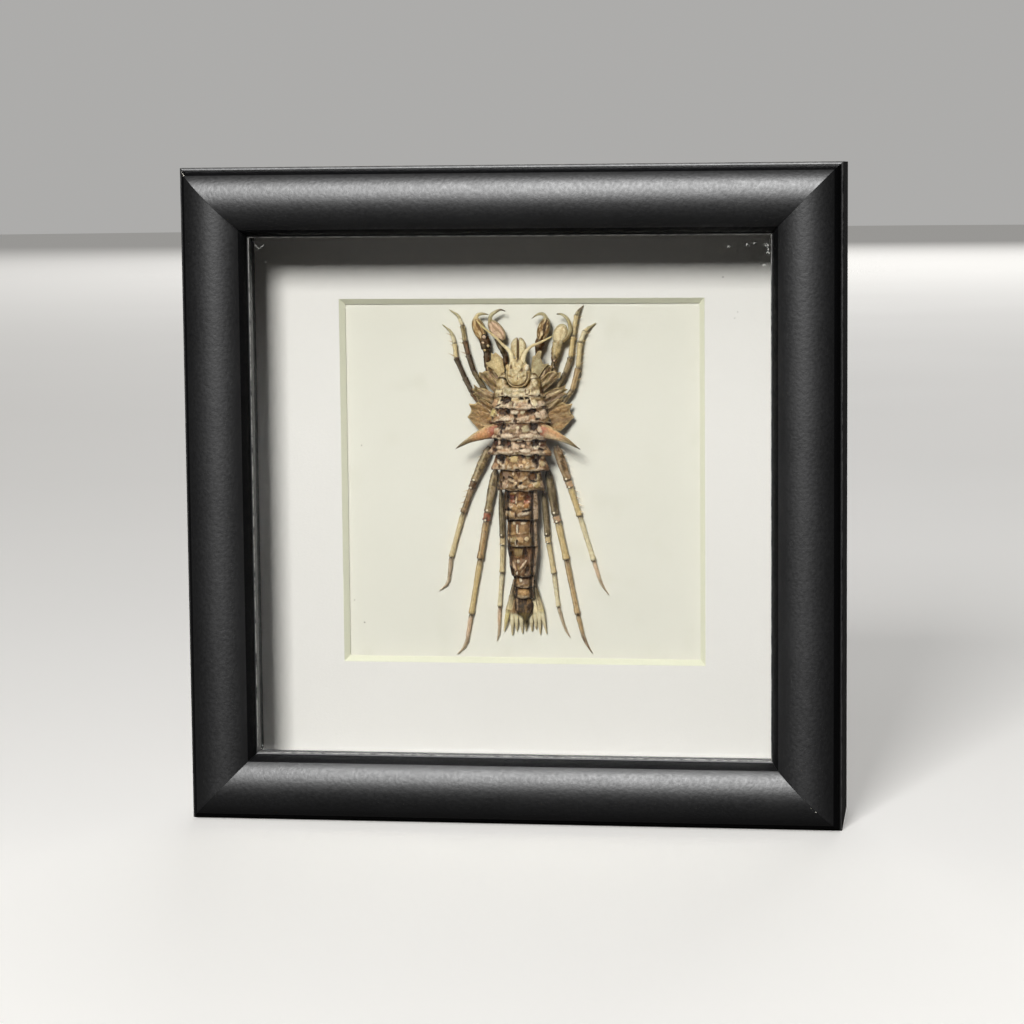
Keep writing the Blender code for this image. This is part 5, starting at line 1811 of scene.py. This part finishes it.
# Walking legs
# Five pairs of thin jointed legs: two point forwards and three backwards. Each joint narrows at its root,
# widens to a lip that holds the next one, and the last is a curved nail.
FRONT_HEIGHTS = (1.7, 2.2, 2.1, 1.9, 1.6, 1.4, 0.45)
REAR_HEIGHTS = (1.9, 1.75, 1.55, 1.2, 0.9, 0.7, 0.38)
LEG_RADII = {
    "front": (0.78, 0.68, 0.66, 0.6, 0.52, 0.4, 0.1),
    "outer": (1.5, 1.0, 0.82, 0.68, 0.56, 0.4, 0.1),
    "middle": (1.35, 1.0, 0.92, 0.78, 0.62, 0.46, 0.1),
    "inner": (0.85, 0.75, 0.68, 0.6, 0.5, 0.36, 0.1),
}
# Name, row, start x and s, then for each joint its length, its heading in degrees and its shade
LEGS = (
    (
        "front_leg_outer_left",
        "front",
        (-7.3, 17.4),
        (
            *((8.2, -36, "umber"), (4.1, -26, "bark"), (5.4, -24, "bark")),
            *((3.6, -6, "reed"), (3.1, -15, "ivory"), (2.9, -56, "lichen")),
        ),
    ),
    (
        "front_leg_outer_right",
        "front",
        (7.4, 17.6),
        (
            *((8.8, 38, "khaki"), (5.8, 15, "sand"), (6.4, 5, "reed")),
            *((2.9, 22, "ivory"), (1.3, 50, "reed"), (2.0, 57, "lichen")),
        ),
    ),
    (
        "front_leg_inner_left",
        "front",
        (-6.8, 20.9),
        (
            *((9.8, -30, "olive"), (4.2, -18, "bark"), (3.5, -14, "umber")),
            *((3.9, -9, "moss"), (3.0, -23, "ivory"), (2.5, -64, "lichen")),
        ),
    ),
    (
        "front_leg_inner_right",
        "front",
        (6.8, 20.4),
        (
            *((9.4, 27, "olive"), (4.1, 20, "khaki"), (5.4, 7, "wheat")),
            *((5.3, 9, "reed"), (1.4, 30, "lichen"), (1.4, 42, "slate")),
        ),
    ),
    (
        "rear_leg_outer_left",
        "outer",
        (-7.9, 10.6),
        (
            *((9.6, -155, "khaki"), (1.6, -158, "umber"), (6.8, -160, "dun")),
            *((11.7, -164, "reed"), (7.4, -173, "ash"), (2.4, -114, "ash")),
        ),
    ),
    (
        "rear_leg_outer_right",
        "outer",
        (8.6, 10.9),
        (
            *((9.2, 161, "dun"), (1.6, 162, "blush"), (7.7, 163, "wheat")),
            *((11.7, 163, "ivory"), (6.6, 163, "shin"), (2.7, 141, "ash")),
        ),
    ),
    (
        "rear_leg_middle_left",
        "middle",
        (-6.5, 5.0),
        (
            *((11.0, -169, "khaki"), (2.0, -169, "rose"), (10.0, -170, "fawn")),
            *((14.2, -170, "wheat"), (8.6, -170, "shin"), (2.7, -126, "ash")),
        ),
    ),
    (
        "rear_leg_middle_right",
        "middle",
        (6.6, 5.0),
        (
            *((11.6, 171, "olive"), (1.6, 162, "blush"), (9.8, 168, "wheat")),
            *((14.1, 169, "sand"), (7.4, 166, "fawn"), (3.2, 144, "plum")),
        ),
    ),
    (
        "rear_leg_inner_left",
        "inner",
        (-5.2, -0.1),
        (
            *((12.0, 179, "olive"), (1.7, 180, "cream"), (7.1, -178, "reed")),
            *((8.7, -175, "ivory"), (7.4, -178, "shin"), (1.4, -155, "ash")),
        ),
    ),
    (
        "rear_leg_inner_right",
        "inner",
        (5.5, -0.1),
        (
            *((11.6, 176, "olive"), (1.5, 172, "cream"), (8.0, 171, "reed")),
            *((8.5, 173, "ivory"), (6.0, 164, "ash"), (2.3, 149, "ash")),
        ),
    ),
)
# Along one joint: place, share of the radius, share of dark
JOINT_PROFILE = (
    (0.0, 0.7, 1.0),
    (0.05, 0.84, 0.55),
    (0.14, 0.95, 0.05),
    (0.5, 0.92, 0.0),
    (0.84, 1.0, 0.0),
    (0.94, 1.2, 0.0),
    (0.985, 1.16, 0.7),
)
# Where along the last joint but one the curve to the tip begins
BEND_START = 0.72
# Stations of a rear leg's first two lips, where a painted highlight sits: a small knob in the glint shade
LIP_STATIONS = (len(JOINT_PROFILE) - 2, 2 * len(JOINT_PROFILE) - 1)
# The knob's place left of the lip's middle and above it, and its size, as shares of the lip's radius
KNOB_LEFT = 0.2
KNOB_ABOVE = 0.72
KNOB_SIZE = 0.3


def leg_stations(row, start, joints):
    """The rod stations of a leg. The last joint but one bends into the nail along a curve."""
    heights = FRONT_HEIGHTS if row == "front" else REAR_HEIGHTS
    radii = LEG_RADII[row]
    here = Vector(start)
    stations = []
    for number, (length, heading, shade_name) in enumerate(joints):
        way = Vector((math.sin(math.radians(heading)), math.cos(math.radians(heading))))
        tip = here + way * length
        for place, share, dark in JOINT_PROFILE:
            radius = radii[number] + (radii[number + 1] - radii[number]) * place
            spot = here.lerp(tip, place)
            h = heights[number] + (heights[number + 1] - heights[number]) * place
            if number == len(joints) - 2 and place > BEND_START:
                continue
            if number == len(joints) - 1:
                share, dark = 1.0 + 0.9 * place * (1 - place), 0.0
                spot = bend.lerp(here, place).lerp(here.lerp(tip, place), place)
            if number == 0:
                share *= 0.55 + 0.5 * ease(place, 0.0, 0.3) - 0.22 * ease(place, 0.4, 1.0)
            shade = blend(dark, SHADES[shade_name], SHADES["bark"])
            stations.append((spot.x, spot.y, h, radius * share, shade))
        bend = here.lerp(tip, BEND_START)
        here = tip
    stations.append((here.x, here.y, heights[-1], radii[-1], SHADES["slate"]))
    return stations


leg_finish = shell_finish("leg_shell", 0.28, 0.3)
for name, row, start, joints in LEGS:
    shell = Shell()
    stations = leg_stations(row, start, joints)
    rod(shell, stations, smooth=False, rough=0.08, mottle=0.55)
    if row != "front":
        # Painted highlights on the lips, as small knobs in the glint shade
        for place in LIP_STATIONS:
            x, s, h, radius, _ = stations[place]
            knob_x, knob_h = x - KNOB_LEFT * radius, h + KNOB_ABOVE * radius
            add_knob(shell, knob_x, s, knob_h, KNOB_SIZE * radius, "glint")
    fit_piece(f"{name}_shell", shell.mesh(f"{name}_shell"), leg_finish, "leg_tan", name)

# Bristles
# Short stiff spines of shell in rows along the outer sides of some walking legs, grown from the joint under
# them and leaning towards its far end.

# Each row: leg, joint and side
BRISTLE_ROWS = (
    *(("front_leg_inner_left", joint, -1) for joint in (2, 3)),
    *(("front_leg_outer_left", joint, -1) for joint in (3, 4)),
    *(("front_leg_outer_right", joint, 1) for joint in (1, 2, 3)),
    *(("front_leg_inner_right", joint, 1) for joint in (2, 3)),
    *(("rear_leg_outer_right", joint, 1) for joint in (0, 2)),
    *(("rear_leg_outer_left", joint, -1) for joint in (0, 2)),
)
BRISTLE_SPACING = 1.5
BRISTLE_LENGTH = 1.9
BRISTLE_RADIUS = 0.15
# How far a bristle leans along its joint and up off the card, for each part that it points outwards
BRISTLE_LEAN = 0.7
BRISTLE_LIFT = 0.25
BRISTLE_SIDES = 7
BRISTLE_SEED = 7
# Least and greatest share of the full size
BRISTLE_SIZES = (0.55, 1.0)


def bristle_rows():
    """A mesh of edges along the joints' sides. Each point keeps the way its bristle points."""
    places, edges, ways = [], [], []
    legs = {name: leg_stations(row, start, joints) for name, row, start, joints in LEGS}
    for name, joint, side in BRISTLE_ROWS:
        first, last = (legs[name][joint * len(JOINT_PROFILE) + place] for place in (2, 4))
        run = Vector((last[0] - first[0], 0.0, last[1] - first[1])).normalized()
        out = Vector((abs(run.z), 0.0, -run.x * math.copysign(1.0, run.z))) * side
        way = (out + run * BRISTLE_LEAN + Vector((0.0, -BRISTLE_LIFT, 0.0))).normalized()
        for x, s, h, radius, _ in (first, last):
            places.append(Vector(place_at(x, s, CARD_FRONT + h)) + out * (radius * 0.8 * MM))
            ways.append(way)
        edges.append((len(places) - 2, len(places) - 1))
    mesh = bpy.data.meshes.new("bristle_rows")
    mesh.from_pydata(places, edges, [])
    kept = mesh.attributes.new("way", "FLOAT_VECTOR", "POINT")
    kept.data.foreach_set("vector", [part for way in ways for part in way])
    return mesh


def bristle_tree(finish):
    """Nodes that set cones along rows of edges, turned the way that each point names."""
    tree = bpy.data.node_groups.new("bristles", "GeometryNodeTree")
    tree.interface.new_socket("Rows", in_out="INPUT", socket_type="NodeSocketGeometry")
    for name, kind in (("Spacing", "Float"), ("Length", "Float"), ("Radius", "Float"), ("Seed", "Int")):
        tree.interface.new_socket(name, in_out="INPUT", socket_type=f"NodeSocket{kind}")
    tree.interface.new_socket("Bristles", in_out="OUTPUT", socket_type="NodeSocketGeometry")

    def node(kind, links=None, **settings):
        made = tree.nodes.new(kind)
        for name, value in settings.items():
            setattr(made, name, value)
        for name, given in (links or {}).items():
            if isinstance(given, bpy.types.NodeSocket):
                tree.links.new(given, made.inputs[name])
            else:
                made.inputs[name].default_value = given
        return made

    given = node("NodeGroupInput").outputs
    curve = node("GeometryNodeMeshToCurve", {"Mesh": given["Rows"]})
    line = {"Curve": curve.outputs[0], "Length": given["Spacing"]}
    spots = node("GeometryNodeResampleCurve", line, mode="LENGTH")
    shape = {"Vertices": BRISTLE_SIDES, "Radius Bottom": given["Radius"], "Depth": given["Length"]}
    cone = node("GeometryNodeMeshCone", shape)
    way = node("GeometryNodeInputNamedAttribute", {"Name": "way"}, data_type="FLOAT_VECTOR")
    turn = node("FunctionNodeAlignRotationToVector", {"Vector": way.outputs["Attribute"]}, axis="Z")
    sizes = {"Seed": given["Seed"], 2: BRISTLE_SIZES[0], 3: BRISTLE_SIZES[1]}
    size = node("FunctionNodeRandomValue", sizes, data_type="FLOAT")
    links = {"Points": spots.outputs[0], "Instance": cone.outputs["Mesh"], "Rotation": turn.outputs[0]}
    cones = node("GeometryNodeInstanceOnPoints", {**links, "Scale": size.outputs[1]})
    real = node("GeometryNodeRealizeInstances", {"Geometry": cones.outputs[0]})
    done = node("GeometryNodeSetMaterial", {"Geometry": real.outputs[0], "Material": finish})
    node("NodeGroupOutput", {"Bristles": done.outputs[0]})
    return tree


def bristle_finish():
    """Clear horn-brown shell, darker in clouds."""
    finish = Finish("bristle_shell")
    cloud = finish.spot(600, 3)
    shade = finish.mix(cloud, SHADES["wheat"], SHADES["dun"])
    relief = finish.bump(finish.spot(4200, 2), 0.00002)
    return finish.coat(Base_Color=shade, Roughness=0.35 + cloud * 0.2, Normal=relief)


finish = bristle_finish()
rows = add_object("bristle_rows", bristle_rows(), finish)
tree = bristle_tree(finish)
modifier = rows.modifiers.new("bristles", "NODES")
modifier.node_group = tree
inputs = {
    "Spacing": BRISTLE_SPACING * MM,
    "Length": BRISTLE_LENGTH * MM,
    "Radius": BRISTLE_RADIUS * MM,
    "Seed": BRISTLE_SEED,
}
for item in tree.interface.items_tree:
    if item.in_out == "INPUT" and item.name in inputs:
        modifier[item.identifier] = inputs[item.name]
seen = rows.evaluated_get(bpy.context.evaluated_depsgraph_get())
bristles = bpy.data.meshes.new_from_object(seen)
bristles.name = "leg_bristles"
bristles.materials.clear()
rows.modifiers.clear()
bpy.data.objects.remove(rows)
bristled = sorted({name for name, *_ in BRISTLE_ROWS})
fit_piece("leg_bristles", bristles, finish, "leg_tan", *bristled)

# Tail fan
# The last plate of the tail, the splayed two-jointed rays behind it, and a stem on each side. All are thin
# shell, and most of the rays are pale with darker roots.

# Each ray: root, joint and tip, then its near and its far shade
RAYS = (
    ((-2.8, -27.4), (-3.6, -30.1), (-4.9, -35.7), "moss", "straw"),
    ((-1.9, -27.6), (-2.6, -30.5), (-2.9, -36.7), "dun", "ivory"),
    ((-1.0, -28.6), (-1.6, -30.7), (-1.7, -35.7), "umber", "ivory"),
    ((0.1, -28.8), (-0.5, -31.0), (-0.3, -36.2), "umber", "ivory"),
    ((0.6, -28.8), (0.8, -31.2), (0.6, -35.6), "olive", "olive"),
    ((1.5, -28.6), (2.0, -30.8), (2.1, -35.6), "dun", "ivory"),
    ((2.2, -28.0), (3.1, -30.3), (3.1, -35.1), "bone", "ivory"),
    ((2.9, -27.6), (4.0, -30.0), (4.2, -36.4), "bone", "ivory"),
    ((3.9, -27.4), (4.7, -30.0), (5.8, -36.1), "straw", "ivory"),
)
SIDE_STEMS = (
    ((-2.0, -22.5), (-2.7, -26.5), (-3.4, -30.0)),
    ((2.9, -22.5), (3.7, -26.5), (4.5, -29.9)),
)
TELSON_OUTLINE = (
    *((-1.7, -26.7), (2.2, -26.7), (2.9, -28.4), (2.5, -30.6), (1.6, -31.8)),
    *((0.9, -33.2), (0.2, -31.9), (-1.5, -30.7), (-1.9, -28.6)),
)
TELSON_H = 3.2
TELSON_HALF = 1.1
# Heights and radii of a ray at its root, its joint, just past it, halfway on and at its tip
RAY_SIZES = ((2.2, 0.4), (2.3, 0.62), (2.1, 0.56), (1.7, 0.44), (0.7, 0.12))
STEM_SIZES = ((2.0, 0.3), (2.3, 0.6), (2.4, 0.85))
STEM_SHADES = ("bark", "olive", "reed")


def telson_shade(x, s, reach, level):
    streak = noise.noise(Vector((x * 2.2, s * 0.5, 15.0))) + 0.5 * patches(0.35, x, s, 18.0)
    return layered(
        SHADES["bark"],
        (0.8 * ease(streak, 0.05, 0.3), "dun"),
        (peak(x, 0.1, 0.8) * peak(s, -28.9, 0.9), "soot"),
        # A painted highlight down the left side
        (0.7 * peak(x, -1.1, 0.25) * ease(streak, -0.3, 0.2), "mauve"),
        (0.9 * ease(-30.2 - s, 0.0, 0.8), "olive"),
        (0.6 * ease(reach, 0.85, 1.0), "soot"),
    )


tail_shell = Shell()
telson = even_outline(TELSON_OUTLINE)
pad(tail_shell, telson, same(TELSON_H), same(TELSON_HALF), telson_shade, rough=1.2, fullness=0.6)
for stem in SIDE_STEMS:
    stations = [(*place, *size, shade) for place, size, shade in zip(stem, STEM_SIZES, STEM_SHADES)]
    rod(tail_shell, shaded(stations), flat=0.6, rough=0.08, mottle=0.6)
for root, joint, tip, near, far in RAYS:
    places = (root, joint, blend(0.15, joint, tip), blend(0.5, joint, tip), tip)
    shades = (near, near, far, far, "reed")
    stations = [(*place, *size, shade) for place, size, shade in zip(places, RAY_SIZES, shades)]
    rod(tail_shell, shaded(stations), flat=0.6, rough=0.05, columns=14, mottle=0.1)
tail_finish = shell_finish("tail_shell", 0.34, 0.2)
fit_piece("tail_fan_shell", tail_shell.mesh("tail_fan_shell"), tail_finish, "tail_straw", "tail_fan")
